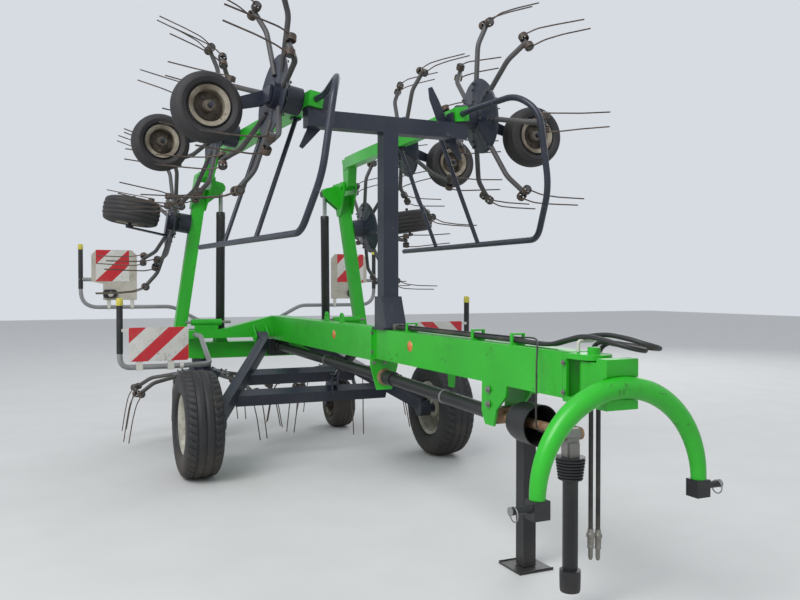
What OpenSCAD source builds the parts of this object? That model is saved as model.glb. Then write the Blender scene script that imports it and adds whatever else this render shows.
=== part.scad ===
// Trailed hay tedder with eight rotors, its wings folded up for the road.
// Origin on the ground under the transport axle, on the centre plane.
// +X points forward to the hitch, +Y to the machine's left, +Z up.

/* [Main beam] */
// Top of the drawbar beam above the ground
beam_top = 1086; // [1060:1:1110]
// Depth of the front beam
beam_h = 186; // [170:1:195]
// Depth of the rear beam
rear_beam_h = 206; // [200:1:212]
// Width of both beams
beam_w = 140; // [120:1:150]
// Place of the bolted flange between the two beams
flange_x = 1110; // [1060:5:1160]
// Front end of the drawbar beam
beam_front_x = 3080; // [3060:5:3090]
// Wall of the beams' flange plates
plate_t = 20; // [16:1:24]

/* [Rotor row] */
// Rotor axes' place along the machine
rotor_x = -1450; // [-1470:1:-1440]
// Height of the rotor beams' centre line
row_z = 790; // [780:1:800]
// Sideways place of the first, second, third and fourth rotor
rotor_ys = [665, 1995, 3395, 4725];
// Arms on each rotor
arm_count = 7; // [7:1:7]
// Radius at which the tine coils sit
coil_r = 600; // [590:1:605]
// Radius of the circle of the tine tips
tip_r = 717; // [712:1:720]
// Height of the tine tips over the ground in work
tip_z = 62; // [50:1:80]

/* [Folding] */
// Sideways place of the wing hinges
hinge_y = 880; // [880:1:890]
// Lift of the inner wing from work to road
fold_deg = 98.5; // [97:0.1:99]
// Distance from the wing hinge to the knee pin along the wing
knee_s = 1515; // [1510:1:1520]
// Forward offset of the knee pin from the rotor row
knee_e = 190; // [188:1:192]
// Lean of the folded outer wings towards the crossbar
toe_deg = 3.2; // [3:0.1:3.4]

/* [Wheels] */
// Diameter of the transport tyres
road_tyre_d = 760; // [740:1:780]
// Width of the transport tyres
road_tyre_w = 264; // [255:1:270]
// Distance between the transport wheels' middles
track = 1930; // [1900:5:1960]
// Diameters of the tyres under the four rotors of a side
rotor_tyre_ds = [457, 457, 406, 406];
// Widths of the tyres under the four rotors of a side
rotor_tyre_ws = [210, 210, 165, 165];
// Lead of each rotor's wheel ahead of the rotor axis
wheel_leads = [-100, 200, 170, 170];

/* [Post and hitch] */
// Place of the upright post
post_x = 1163; // [1160:1:1170]
// Centre height of the crossbar on the post
crossbar_z = 2350; // [2346:1:2352]
// Side of the post's and crossbar's square tubes
post_w = 100; // [90:1:106]
// Half length of the crossbar
crossbar_half = 535; // [530:1:540]
// Distance of the hitch's vertical pin ahead of the drawbar
swivel_ahead = 110; // [104:1:120]
// Distance of the arch ahead of the vertical pin
arch_dx = 170; // [165:1:180]
// Radius of the lower link pins
link_pin_r = 14.25; // [14.25:0.05:14.35]
// Distance between the shoulders of the lower link pins
link_span = 825; // [815:1:835]

/* [Parking stand] */
// Place of the stand along the drawbar
stand_x = 2500; // [2480:1:2510]
// Side of the stand's square leg
stand_w = 70; // [68:1:72]
// Side of the stand's foot plate
foot_w = 190; // [170:1:210]

/* [Warning boards] */
// Distance of the rear boards' carrier behind the rotor row
rear_board_back = 1435; // [1400:5:1460]
// Inner and outer edge of a rear board
rear_board_ys = [1054, 1491];
// Lower and upper edge of a rear board
rear_board_zs = [1216, 1724];
// Place of the front boards' carrier
front_board_x = -418; // [-425:1:-410]
// Inner and outer edge of a front board
front_board_ys = [960, 1383];
// Lower and upper edge of a front board
front_board_zs = [765, 1047];

/* [Hidden] */
$fn = 48;

green = [0.16, 0.62, 0.14];
slate = [0.13, 0.15, 0.2];
black = [0.05, 0.05, 0.055];
grey = [0.5, 0.51, 0.5];
tine_grey = [0.3, 0.28, 0.26];
cream = [0.85, 0.84, 0.76];
seat = 0.3;
run = 0.05;

arm_w = 100;
outer_w = 90;
row_w = 150;
row_h = 140;
hinge_pin_r = 20;
knee_pin_r = 22;
lug_t = 20;
hub_top = 639;
hub_r = 78;
spindle_r = 36;
dish_r = 245;
arm_r = 17;
axle_r = 13;
carrier_r = 20;
arm_pitch = 360 / arm_count;
// Arm angles at rest of the left and right rotors, so that neighbours mesh in work and folded
left_phases = [-4, 4, -15, 15];
right_phases = [4, -4, 15, -15];
swivel_x = beam_front_x + swivel_ahead;
// The hitch arch's legs stand in the forks, whose outer faces are the pins' shoulders
fork_outside = 32.5;
fork_inside = 35;
arch_r = link_span / 2 - fork_outside;
// Tilt of the knee pin that brings the toe of the folded outer wing
knee_tilt = atan(tan(toe_deg / 2) * sqrt(2));

// A solid box given by its lowest and highest corners
module box(low, high) {
    translate(low) cube(high - low);
}

// A round bar between two points
module bar(from, to, r) {
    d = to - from;
    length = norm(d);
    turn = atan2(d.y, d.x);
    lean = acos(d.z / length);
    translate(from) rotate([0, lean, turn]) cylinder(h = length, r = r);
}

// A vector of length one along v
function unit(v) = v / norm(v);

// The points of a route with each corner rounded over a length r on both sides
function rounded(p, r) = [
    p[0],
    for (i = [1 : len(p) - 2]) for (u = [0 : 0.25 : 1])
        let (a = p[i] + r * unit(p[i - 1] - p[i]), b = p[i] + r * unit(p[i + 1] - p[i]))
        (1 - u) * (1 - u) * a + 2 * u * (1 - u) * p[i] + u * u * b,
    p[len(p) - 1]
];

// Directions along a route, and side vectors carried along it without twist
function along(p) = [for (i = [0 : len(p) - 1]) unit(p[min(i + 1, len(p) - 1)] - p[max(i - 1, 0)])];
function carried(t, n, i = 0) = i == len(t) ? [] :
    let (m = unit(n - (n * t[i]) * t[i])) concat([m], carried(t, m, i + 1));

// A closed round tube along a route, with the first side vector n
module pipe(route, r, n, sides = 10) {
    t = along(route);
    m = carried(t, n);
    last = (len(route) - 1) * sides;
    points = [for (i = [0 : len(route) - 1]) for (j = [0 : sides - 1])
        let (a = 360 * j / sides) route[i] + r * (cos(a) * m[i] + sin(a) * cross(t[i], m[i]))];
    walls = [for (i = [0 : len(route) - 2]) for (j = [0 : sides - 1])
        let (a = i * sides + j, b = i * sides + (j + 1) % sides) [a, a + sides, b + sides, b]];
    polyhedron(points, concat(walls, [[for (j = [0 : sides - 1]) j], [for (j = [sides - 1 : -1 : 0]) last + j]]));
}

// A plate between two heights of a flat outline
module slab(z0, z1) {
    translate([0, 0, z0]) linear_extrude(z1 - z0) children();
}

// Children made for the left side, put on either side
module side(left) {
    mirror([0, left ? 0 : 1, 0]) children();
}

// The inner wing's lift about its hinge, from the work pose
module lift() {
    translate([0, hinge_y, row_z]) rotate([fold_deg, 0, 0]) translate([0, -hinge_y, -row_z]) children();
}

// The outer wing's fold about the knee pin, from the work pose
module knee() {
    px = rotor_x + knee_e;
    py = hinge_y + knee_s;
    lift() translate([px, py, row_z]) rotate([0, -toe_deg, 0]) rotate([0, 0, -90])
        translate([-px, -py, -row_z]) children();
}

// A round bar about the knee pin's axis, in the work pose
module knee_bar(h, r) {
    translate([rotor_x + knee_e, hinge_y + knee_s, row_z]) rotate(a = knee_tilt, v = [-1, -1, 0])
        cylinder(h = h, r = r, center = true);
}

// The pose of a left rotor's section: 0 is fixed, 1 is inner, 2 and 3 are outer
module section(i) {
    if (i == 0) children();
    if (i == 1) lift() children();
    if (i > 1) knee() children();
}

// Drawbar beam, with its brackets for the drive line
module main_beam_front() {
    z0 = beam_top - beam_h;
    color(green) union() {
        box([flange_x, -beam_w / 2, z0], [beam_front_x, beam_w / 2, beam_top]);
        box([flange_x, -beam_w / 2 - 8, z0 - 4], [flange_x + plate_t, beam_w / 2 + 8, beam_top]);
        for (s = [-1, 1]) {
            translate([0, s * (beam_w / 2 - 6) + 6, 0]) rotate([90, 0, 0]) linear_extrude(12)
                translate([line_front.x, 0]) polygon([[-40, z0 + 10], [180, z0 + 10], [170, 850], [90, 780],
                    [65, 700], [-10, 700], [-44, 760]]);
        }
        translate([1940, 40, 0]) rotate([90, 0, 0]) linear_extrude(12)
            polygon([[-40, z0 + 5], [40, z0 + 5], [25, 810], [-25, 810]]);
        for (x = clip_xs) {
            translate([x, 0, beam_top]) rotate([90, 0, 90]) linear_extrude(20) difference() {
                translate([-35, -2]) square([70, 54]);
                translate([-27.5, clip_floor]) square([55, 36]);
            }
        }
        stand_sleeve();
    }
}

// Rear beam, ending over the crossmember
module main_beam_rear() {
    z0 = beam_top + 4 - rear_beam_h;
    color(green) union() {
        box([rotor_x + 95, -beam_w / 2, z0], [flange_x - plate_t, beam_w / 2, beam_top + 4]);
        for (x = [10, 335]) {
            translate([x, 0, beam_top]) rotate([90, 0, 0]) linear_extrude(14, center = true) difference() {
                polygon([[-45, 0], [45, 0], [26, 62], [12, 76], [-12, 76], [-26, 62]]);
                translate([0, 46]) circle(r = 14);
            }
        }
        box([beam_pin.x - 45, beam_w / 2 - 5, beam_pin.z - 40], beam_pin + [45, -37.5, 45]);
        translate(beam_pin - [0, 45, 0]) rotate([-90, 0, 0]) cylinder(h = 90, r = 15);
        translate(beam_pin + [0, 37.3, 0]) rotate([-90, 0, 0]) cylinder(h = 9, r = 24);
        difference() {
            translate([flange_x - plate_t, 0, 0]) rotate([90, 0, 90]) linear_extrude(plate_t - 0.3)
                polygon([[-92, beam_top + 2], [92, beam_top + 2], [92, 850], [50, 700], [-50, 700], [-92, 850]]);
            translate(line_mid - [60, 0, 0]) rotate([0, 90, 0])
                cylinder(h = 120, r = bearing_r + seat);
        }
    }
}

// Upper cross frame behind the rear beam, thinner to its ends, with the wings' lock cylinders on it
module crossmember() {
    x0 = rotor_x + row_w / 2 + lug_t + seat;
    x1 = rotor_x + 215;
    lock = [(x0 + x1) / 2, 0, 1042];
    color(green) difference() {
        union() {
            translate([x0, 0, 0]) rotate([90, 0, 90]) linear_extrude(x1 - x0)
                polygon([[-850, 905], [-850, 975], [-540, 975], [-100, 1084], [100, 1084], [540, 975],
                    [850, 975], [850, 905]]);
            for (s = [-1, 1]) {
                for (y = [145, 255]) {
                    translate([0, s * y + 7, 0]) rotate([90, 0, 0]) linear_extrude(14) union() {
                        translate([pivot_x, pivot_z]) circle(r = 42);
                        polygon([[x1 - 5, 906], [x1 - 5, 1020], [pivot_x + 18, pivot_z + 38],
                            [pivot_x - 8, pivot_z - 41]]);
                    }
                }
                translate([pivot_x, s * 200, pivot_z]) rotate([90, 0, 0])
                    cylinder(h = 140, r = pivot_r, center = true);
                bar(lock + [0, s * 520, 0], lock + [0, s * 780, 0], 28);
                bar(lock + [0, s * 440, 0], lock + [0, s * 830, 0], 11);
                translate(lock + [0, s * 650, -45]) cube([30, 200, 60], center = true);
            }
        }
        box([x0 - 1, -beam_w / 2 - seat, 880], [x1 + 1, beam_w / 2 + seat, 1100]);
    }
}

// Lower cross beam over the two centre rotors, with the lugs of the wing hinges
module rotor_beam() {
    x0 = rotor_x - row_w / 2;
    x1 = rotor_x + row_w / 2;
    color(green) union() {
        box([x0, -760, row_z - row_h / 2], [x1, 760, row_z + row_h / 2]);
        for (s = [-1, 1]) {
            for (x = [x0 - lug_t, x1]) {
                translate([x, 0, 0]) rotate([90, 0, 90]) linear_extrude(lug_t) difference() {
                    union() {
                        translate([s * hinge_y, row_z]) circle(r = 55);
                        polygon([[s * 660, row_z - 70], [s * 850, row_z - 55], [s * 870, row_z + 50],
                            [s * 850, 975], [s * 660, 975]]);
                        polygon([[s * 840, row_z - 54], [s * hinge_y, row_z - 55], [s * hinge_y, row_z + 54]]);
                    }
                }
            }
            translate([x0 - lug_t - 12, s * hinge_y, row_z]) rotate([0, 90, 0])
                cylinder(h = row_w + 2 * lug_t + 24, r = hinge_pin_r);
            for (x = [rotor_x - 57.3, rotor_x + 42.3]) {
                translate([x, s * 500, 0]) rotate([90, 0, 90]) linear_extrude(15)
                    polygon([[-60, row_z + row_h / 2 - 5], [60, row_z + row_h / 2 - 5], [35, 930], [-35, 930]]);
            }
            translate([rotor_x - 66, s * 500, 905]) rotate([0, 90, 0]) cylinder(h = 132, r = 15);
        }
    }
}

// Outline of the leaning plates at the crossbar's ends, from their lower to their upper tip
leaf = [[535, 2180], [556, 2192], [498, 2320], [382, 2560], [334, 2640], [310, 2630], [318, 2560], [424, 2300]];

// Upright post and crossbar that the outer wings rest on
module rest_post() {
    h = post_w / 2;
    color(slate) {
        union() {
            box([post_x - h, -h, beam_top + 12], [post_x + h, h, crossbar_z + h]);
            box([post_x - h, -crossbar_half, crossbar_z - h], [post_x + h, crossbar_half, crossbar_z + h]);
            translate([post_x, h + 20, 0]) rotate([90, 0, 0]) linear_extrude(post_w + 40)
                polygon([[-50, beam_top + 12], [130, beam_top + 12], [52, 1290], [-50, 1290]]);
            box([post_x - 52, -88, beam_top + seat], [post_x + 140, 88, beam_top + 14]);
        }
        for (left = [true, false]) {
            side(left) {
                difference() {
                    knee() rest_pad();
                    box([post_x - 200, 0, crossbar_z - h], [post_x + 200, 700, crossbar_z + h + seat]);
                    box([post_x - 200, 0, crossbar_z - h], [post_x - h, 700, crossbar_z + 400]);
                }
                translate([post_x - h - 14 - seat, 0, 0]) rotate([90, 0, 90]) linear_extrude(14) polygon(leaf);
            }
        }
    }
}

// Pad under a folded outer beam, and a stop on the beam's inner side, both to be cut off on the crossbar
module rest_pad() {
    y = post_x - (rotor_x + knee_e) + hinge_y + knee_s;
    x = rotor_x + outer_w / 2;
    z = row_z + outer_w / 2;
    box([x + seat, y - 50, row_z - 36], [x + 45, y + 50, row_z + 36]);
    box([x - 65, y - 50, z + 5], [x + 45, y + 50, z + 17]);
}

// Clevis at the front of the drawbar, with the vertical pin of the hitch
module headstock() {
    color(green) union() {
        for (z = [[beam_top - beam_h - 12, beam_top - beam_h + 10], [beam_top - 24, beam_top - 2]]) {
            slab(z[0], z[1]) difference() {
                union() {
                    translate([beam_front_x + seat, -beam_w / 2]) square([swivel_x - beam_front_x, beam_w]);
                    translate([swivel_x, 0]) circle(r = beam_w / 2);
                }
            }
        }
        for (s = [-1, 1]) {
            translate([0, s * (beam_w / 2 - 7) + 7, 0]) rotate([90, 0, 0]) linear_extrude(14)
                polygon([[beam_front_x + seat, beam_top - 4], [beam_front_x + 24, beam_top - 4],
                    [beam_front_x + 24, beam_top - beam_h], [beam_front_x + seat, beam_top - beam_h]]);
        }
        translate([swivel_x, 0, beam_top - beam_h - 25]) cylinder(h = beam_h + 50, r = 25);
        pipe(rounded(hook, 12), hook_r, [1, 0, 0]);
    }
}

// Hoses: their radii, the clips on the drawbar, the bent hook and the couplings
clip_xs = [1500, 2270, 2630];
clip_floor = 7.7;
hose_r = 10;
cord_r = 4;
hook_r = 7;
hook = [[3135, -34, 1074], [3135, -34, 1132.7], [3135, 44, 1132.7], [3135, 44, 1165]];
hose_1_route = [[1336, -12, 1104], [2650, -12, 1104], [2900, -12, 1104], [3030, -12, 1130], [3135, -12, 1150],
    [3250, -14, 1146], [3340, 0, 1130], [3380, 40, 1116], [3380, 85, 1108], [3340, 118, 1106], [3260, 126, 1110],
    [3170, 120, 1118], [3090, 105, 1120], [3050, 100, 1080], [3045, 100, 1000], [3045, 100, 340]];
hose_2_route = [[1336, 12, 1104], [2650, 12, 1104], [2900, 12, 1104], [3030, 12, 1130], [3135, 12, 1150],
    [3250, 16, 1162], [3350, 26, 1154], [3415, 60, 1136], [3425, 110, 1122], [3385, 152, 1114], [3300, 166, 1112],
    [3190, 162, 1116], [3090, 152, 1115], [3045, 144, 1080], [3040, 142, 1000], [3040, 142, 330]];
thin_cord_route = [[1336, 0, 1118], [2650, 0, 1118], [2760, -10, 1124], [2860, -45, 1120], [2930, -90, 1090],
    [2955, -110, 1030], [2960, -114, 900], [2955, -112, 810], [2945, -100, 760], [2940, -76, 742], [2940, -52, 742]];

// A smooth curve through a route's points, with points about a step apart where it bends
function curved(p, step) = concat([
    for (i = [0 : len(p) - 2])
        let (b = p[i], c = p[i + 1], length = norm(c - b), n = length > 300 ? 1 : ceil(length / step),
            v = length * unit(c - p[max(i - 1, 0)]), w = length * unit(p[min(i + 2, len(p) - 1)] - b))
        for (k = [0 : n - 1])
            let (u = k / n, a = 1 - u)
            a * a * (1 + 2 * u) * b + u * u * (3 - 2 * u) * c + u * a * a * v - u * u * a * w
], [p[len(p) - 1]]);

module hose_1() {
    color(black) pipe(curved(hose_1_route, 45), hose_r, [0, 1, 0]);
}

module hose_2() {
    color(black) pipe(curved(hose_2_route, 45), hose_r, [0, 1, 0]);
}

module thin_cord() {
    color(black) pipe(curved(thin_cord_route, 30), cord_r, [0, 1, 0], 8);
}

// Block that the hoses come out of, and the couplings on their free ends
module hose_fittings() {
    color(grey) {
        box([1306, -32, beam_top + seat], [hose_1_route[0].x, 32, 1124]);
        for (end = [hose_1_route[len(hose_1_route) - 1], hose_2_route[len(hose_2_route) - 1]]) {
            translate(end - [0, 0, 130]) rotate_extrude()
                polygon([[0, 0], [7, 0], [10, 10], [10, 46], [14, 48], [14, 92], [18, 94], [18, 110], [13, 114],
                    [13, 130], [0, 130]]);
        }
    }
}

// Drive line at the gearbox, at the flange and at the front bearing
gearbox_end = rotor_x + row_w / 2 + 150;
line_rear = [gearbox_end + 3 * seat, 0, 815];
line_mid = [flange_x, 0, 781];
line_front = [beam_front_x - 600, 0, 742];
bearing_r = 52;
line_r = 22;

// Guard tubes of the drive line under the beams
module pto_line() {
    color(black) union() {
        bar(line_rear, line_mid - [60, 0, 0], 36);
        bar(line_mid - [150, 0, 0], line_mid - [40, 0, 0], 45);
        bar(line_mid - [70, 0, 0], line_mid + [70, 0, 0], line_r);
        bar(line_mid + [40, 0, 0], line_mid + [150, 0, 0], 45);
        bar(line_mid + [60, 0, 0], line_front - [60, 0, 0], 36);
        bar(line_front - [80, 0, 0], line_front - [seat, 0, 0], line_r);
    }
}

// Cross joint at the front of the drive line
joint_c = [beam_front_x - 40, 0, line_front.z];
fork_h = 26;

// Bearings of the drive line, with the stub and the fork ahead of the front one
module pto_bearings() {
    color(grey) {
        difference() {
            translate(line_mid - [plate_t + 6, 0, 0]) rotate([0, 90, 0]) cylinder(h = 44, r = bearing_r);
            translate(line_mid - [plate_t + 10, 0, 0]) rotate([0, 90, 0]) cylinder(h = 60, r = line_r + seat);
        }
        union() {
            box([line_front.x, -57.7, 708], [line_front.x + 60, 57.7, 783]);
            bar(line_front + [50, 0, 0], joint_c - [100, 0, 0], line_r);
            box(joint_c - [115, 52, fork_h], joint_c + [-85, 52, fork_h]);
            for (s = [-1, 1]) {
                translate(joint_c + [0, s * 45 + 7, 0]) rotate([90, 0, 0]) {
                    cylinder(h = 14, r = fork_h);
                    translate([-110, -fork_h, 0]) cube([110, 2 * fork_h, 14]);
                }
            }
            translate(joint_c - [0, 56, 0]) rotate([-90, 0, 0]) cylinder(h = 112, r = 12);
        }
    }
}

// Bell guard round the front joint of the drive line
module pto_bell() {
    color(black) translate(joint_c - [400, 0, 0]) rotate([0, 90, 0]) rotate_extrude()
        polygon([[line_r + seat, 0], [60, 4], [80, 25], [90, 60], [93, 190], [87, 190], [84, 62], [75, 30],
            [58, 12], [line_r + seat, 8]]);
}

// Gearbox in the middle of the lower cross beam
module centre_gearbox() {
    color(black) union() {
        box([rotor_x + row_w / 2 + seat, -95, 735], [rotor_x + row_w / 2 + 95, 95, 880]);
        translate([gearbox_end - 60, 0, line_rear.z]) rotate([0, 90, 0]) cylinder(h = 60, r = 52);
    }
}

// Gear housing under a rotor's beam, spindle and one-sided arm that carries the rotor's wheel
module wheel_leg(i, top) {
    d = rotor_tyre_ds[i];
    w = rotor_tyre_ws[i];
    dx = wheel_leads[i];
    y = rotor_ys[i];
    inner = y - w / 2 - 34;
    translate([rotor_x, 0, 0]) {
        translate([0, y, hub_top + seat]) cylinder(h = top - hub_top - seat, r = 84);
        translate([0, y, 545]) cylinder(h = hub_top - 545 + 1, r = spindle_r);
        box([-50, inner, 540], [50, y + 45, 556]);
        translate([0, inner + 14, 0]) rotate([90, 0, 0]) linear_extrude(14)
            polygon([[-50, 556], [50, 556], [dx + 28, d / 2 - 10], [dx, d / 2 - 30], [dx - 28, d / 2 - 10]]);
        translate([dx, inner, d / 2]) rotate([-90, 0, 0]) cylinder(h = w + 60, r = axle_r);
        translate([dx, inner + 14, d / 2]) rotate([-90, 0, 0]) cylinder(h = 12, r = 30);
    }
}

module centre_wheel_legs() {
    color(slate) {
        for (left = [true, false]) {
            side(left) wheel_leg(0, row_z - row_h / 2);
        }
    }
}

// Square sleeve on the drawbar's left side that holds the parking stand
module stand_sleeve() {
    y = beam_w / 2 + 70;
    h = stand_w / 2 + 10;
    difference() {
        union() {
            box([stand_x - h, y - h, 840], [stand_x + h, y + h, 1080]);
            box([stand_x - h, beam_w / 2 - 5, 930], [stand_x + h, y, 1050]);
        }
        box([stand_x - stand_w / 2 - 0.5, y - stand_w / 2 - 0.5, 800],
            [stand_x + stand_w / 2 + 0.5, y + stand_w / 2 + 0.5, 1100]);
    }
}

module stand_leg() {
    y = beam_w / 2 + 70;
    h = stand_w / 2;
    color(black) union() {
        box([stand_x - h, y - h, 8], [stand_x + h, y + h, beam_top + 6]);
        box([stand_x - foot_w / 2, y - foot_w / 2, 0], [stand_x + foot_w / 2, y + foot_w / 2, 12]);
    }
}

// Bent tubes that carry the warning boards
module board_carriers() {
    rear_x = rotor_x - rear_board_back;
    rear_y = rear_board_ys[1] + 99;
    rear_z = rear_board_zs[0] - 72;
    front_y = front_board_ys[1] + 63;
    front_z = front_board_zs[0] + 10;
    color(grey) {
        for (s = [-1, 1]) {
            union() {
                pipe(rounded([[rotor_x - row_w / 2 - seat, s * 420, 825], [rotor_x - 230, s * 420, 825],
                    [rear_x, s * 420, rear_z - 150], [rear_x, s * 700, rear_z], [rear_x, s * rear_y, rear_z],
                    [rear_x, s * rear_y, rear_board_zs[1] + 56]], 70), carrier_r, [0, 0, 1], 12);
                bar([rear_x, s * rear_y, rear_z + 280], [rear_x, s * (rear_y - 260), rear_z + 280], carrier_r);
                translate([rear_x, s * rear_y, rear_board_zs[1] + 50]) cylinder(h = 34, r = 25);
            }
            union() {
                translate([front_board_x, s * front_y, front_board_zs[1] + 172]) cylinder(h = 34, r = 25);
                pipe(rounded([[rotor_x + 215 + seat, s * 760, 940], [front_board_x - 550, s * 760, 940],
                    [front_board_x - 80, s * 775, front_z], [front_board_x, s * (front_board_ys[0] + 30), front_z],
                    [front_board_x, s * front_y, front_z], [front_board_x, s * front_y, front_board_zs[1] + 178]],
                    60), carrier_r, [0, 0, 1], 12);
            }
        }
    }
}

// Striped boards that mark the machine's width, the rear ones with cut top corners
module warning_boards() {
    cut = 50;
    low = rear_board_zs[0];
    high = rear_board_zs[1];
    lamp_y = rear_board_ys[1] - 175;
    rear_x = rotor_x - rear_board_back + carrier_r + seat;
    front_x = front_board_x + carrier_r + seat;
    color("white") {
        for (left = [true, false]) {
            side(left) {
                union() {
                    translate([rear_x, 0, 0]) rotate([90, 0, 90]) linear_extrude(3.7)
                        polygon([[rear_board_ys[0], low], [rear_board_ys[1] - 110, low],
                            [rear_board_ys[1] - 110, low + 165], [rear_board_ys[1], low + 185],
                            [rear_board_ys[1], high - cut], [rear_board_ys[1] - cut, high],
                            [rear_board_ys[0] + cut, high], [rear_board_ys[0], high - cut]]);
                    box([rear_x - 34, lamp_y - 150, low + 30], [rear_x + 1, lamp_y + 60, low + 125]);
                    box([rear_x + 3, lamp_y - 67, low + 31], [rear_x + 38, lamp_y + 67, low + 102]);
                    translate([rear_x + 37, lamp_y, low + 67]) rotate([0, 90, 0]) cylinder(h = 8, r = 26);
                }
                box([front_x, front_board_ys[0], front_board_zs[0]],
                    [front_x + 3.7, front_board_ys[1], front_board_zs[1]]);
            }
        }
    }
}

// Block that swings on the vertical pin and holds the arch
module hitch_swivel() {
    z0 = beam_top - beam_h + 15;
    z1 = beam_top - 29;
    color(green) difference() {
        union() {
            translate([swivel_x, 0, z0]) cylinder(h = z1 - z0, r = 55);
            box([swivel_x, -45, z0], [swivel_x + arch_dx - 40, 45, z1]);
            box([swivel_x + arch_dx - 60, -75, z0 - 30], [swivel_x + arch_dx, 75, z1 + 20]);
        }
        translate([swivel_x, 0, 800]) cylinder(h = 400, r = 25 + run);
        translate([swivel_x + arch_dx, 0, 590]) rotate([90, 0, 90])
            rotate_extrude() translate([arch_r, 0]) circle(r = 44.2);
    }
}

// Half ring of tube, thick at its top and thinner to its ends
arch_steps = 24;
arch_sides = 16;
function arch_point(i, j) =
    let (a = 180 * i / arch_steps, b = 360 * j / arch_sides, r = 30 + 13 * sin(a))
    [swivel_x + arch_dx + r * sin(b), (arch_r + r * cos(b)) * cos(a), 590 + (arch_r + r * cos(b)) * sin(a)];

module hitch_arch() {
    points = [for (i = [0 : arch_steps]) for (j = [0 : arch_sides - 1]) arch_point(i, j)];
    sides = [for (i = [0 : arch_steps - 1]) for (j = [0 : arch_sides - 1])
        let (a = i * arch_sides + j, b = i * arch_sides + (j + 1) % arch_sides)
        [b, a, a + arch_sides, b + arch_sides]];
    first = [for (j = [0 : arch_sides - 1]) j];
    last = [for (j = [arch_sides - 1 : -1 : 0]) arch_steps * arch_sides + j];
    color(green) polyhedron(points, concat(sides, [first, last]));
}

// Forked ends with the pins for the tractor's lower links
module link_pins() {
    x = swivel_x + arch_dx;
    color(black) {
        for (s = [-1, 1]) {
            side(s > 0) box([x - 32, arch_r - fork_inside, 520], [x + 32, link_span / 2, 589.7]);
            translate([x, s * link_span / 2, 560]) rotate([-s * 90, 0, 0]) cylinder(h = 78, r = link_pin_r);
        }
    }
}

// Swinging half of the cross joint, and the shaft that hangs from it
module pto_joint() {
    color(grey) difference() {
        union() {
            translate(joint_c - [0, 36, 0]) rotate([-90, 0, 0]) cylinder(h = 72, r = 25);
            box(joint_c - [20, 30, 92], joint_c + [20, 30, 0]);
            for (x = [-34, 20]) {
                box(joint_c + [x, -22, -92], joint_c + [x + 14, 22, -34]);
            }
        }
        translate(joint_c - [0, 60, 0]) rotate([-90, 0, 0]) cylinder(h = 120, r = 12 + run);
    }
}

module pto_shaft() {
    color(black) difference() {
        union() {
            translate([joint_c.x, 0, joint_c.z - 190]) cylinder(h = 98 - seat, r = 62);
            translate([joint_c.x, 0, 92]) cylinder(h = joint_c.z - 190 - 92 + 1, r = 32);
            translate([joint_c.x, 0, 92]) cylinder(h = 90, r = 44);
        }
        translate([joint_c.x, 0, 90]) cylinder(h = 72, r = 17.5);
    }
}

// Frame that swings about a cross axis and carries the transport wheels
pivot_x = -1150;
pivot_z = 905;
pivot_r = 20;
stub_y = track / 2 - 150;
arm_foot = [0, stub_y, road_tyre_d / 2 + 30];
arm_fall = (arm_foot.z - pivot_z) / (arm_foot.x - pivot_x);
arm_bend = [pivot_x + 90, 200, pivot_z + 90 * arm_fall];

// The point of the chassis arm at x
function down(x) = arm_bend + (x - arm_bend.x) / (arm_foot.x - arm_bend.x) * (arm_foot - arm_bend);

// A square bar between two points, level sideways
module square_bar(from, to, w, h) {
    d = to - from;
    flat = norm([d.x, d.y]);
    translate(from) rotate([0, 0, atan2(d.y, d.x)]) rotate([0, -atan2(d.z, flat), 0])
        translate([0, -w / 2, -h / 2]) cube([norm(d), w, h]);
}

module transport_chassis() {
    lean = atan(arm_fall);
    sunk = 58;
    color(slate) difference() {
        union() {
            for (s = [-1, 1]) {
                pivot = [pivot_x, s * arm_bend.y, pivot_z];
                bend = [arm_bend.x, s * arm_bend.y, arm_bend.z];
                foot = [arm_foot.x, s * arm_foot.y, arm_foot.z];
                square_bar(pivot, bend + [22, 0, 22 * arm_fall], 80, 95);
                square_bar(bend, foot, 80, 95);
                translate(pivot - [0, 45, 0]) rotate([-90, 0, 0]) cylinder(h = 90, r = 52);
                translate([0, s * stub_y - 45, road_tyre_d / 2]) rotate([-90, 0, 0]) cylinder(h = 90, r = 62);
                translate([0, s * stub_y, road_tyre_d / 2]) rotate([-s * 90, 0, 0])
                    cylinder(h = track / 2 - stub_y + 60, r = 30);
                box([-50, s * stub_y - 40, road_tyre_d / 2], [50, s * stub_y + 40, road_tyre_d / 2 + 62]);
            }
            for (p = [down(front_beam_x), down(rear_beam_x)]) {
                translate([p.x, 0, p.z - sunk]) rotate([0, -lean, 0]) cube([95, 2 * p.y, 92], center = true);
            }
            for (y = [-24.5, 24.5]) {
                translate(chassis_pin + [0, y + 7.5, 0]) rotate([90, 0, 0]) linear_extrude(15) union() {
                    circle(r = 30);
                    polygon([[-70, -110], [50, -140], [30, 0], [-30, 0]]);
                }
            }
            for (y = [-42, 30]) {
                translate(chassis_pin + [0, y, 0]) rotate([-90, 0, 0]) cylinder(h = 12, r = 15);
            }
        }
        for (s = [-1, 1]) {
            translate([pivot_x, s * 200, pivot_z]) rotate([-90, 0, 0])
                cylinder(h = 200, r = pivot_r + run, center = true);
        }
    }
}

module left_road_tyre() { side(true) road_tyre(); }
module right_road_tyre() { side(false) road_tyre(); }
module left_road_rim() { side(true) road_rim(); }
module right_road_rim() { side(false) road_rim(); }

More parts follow.
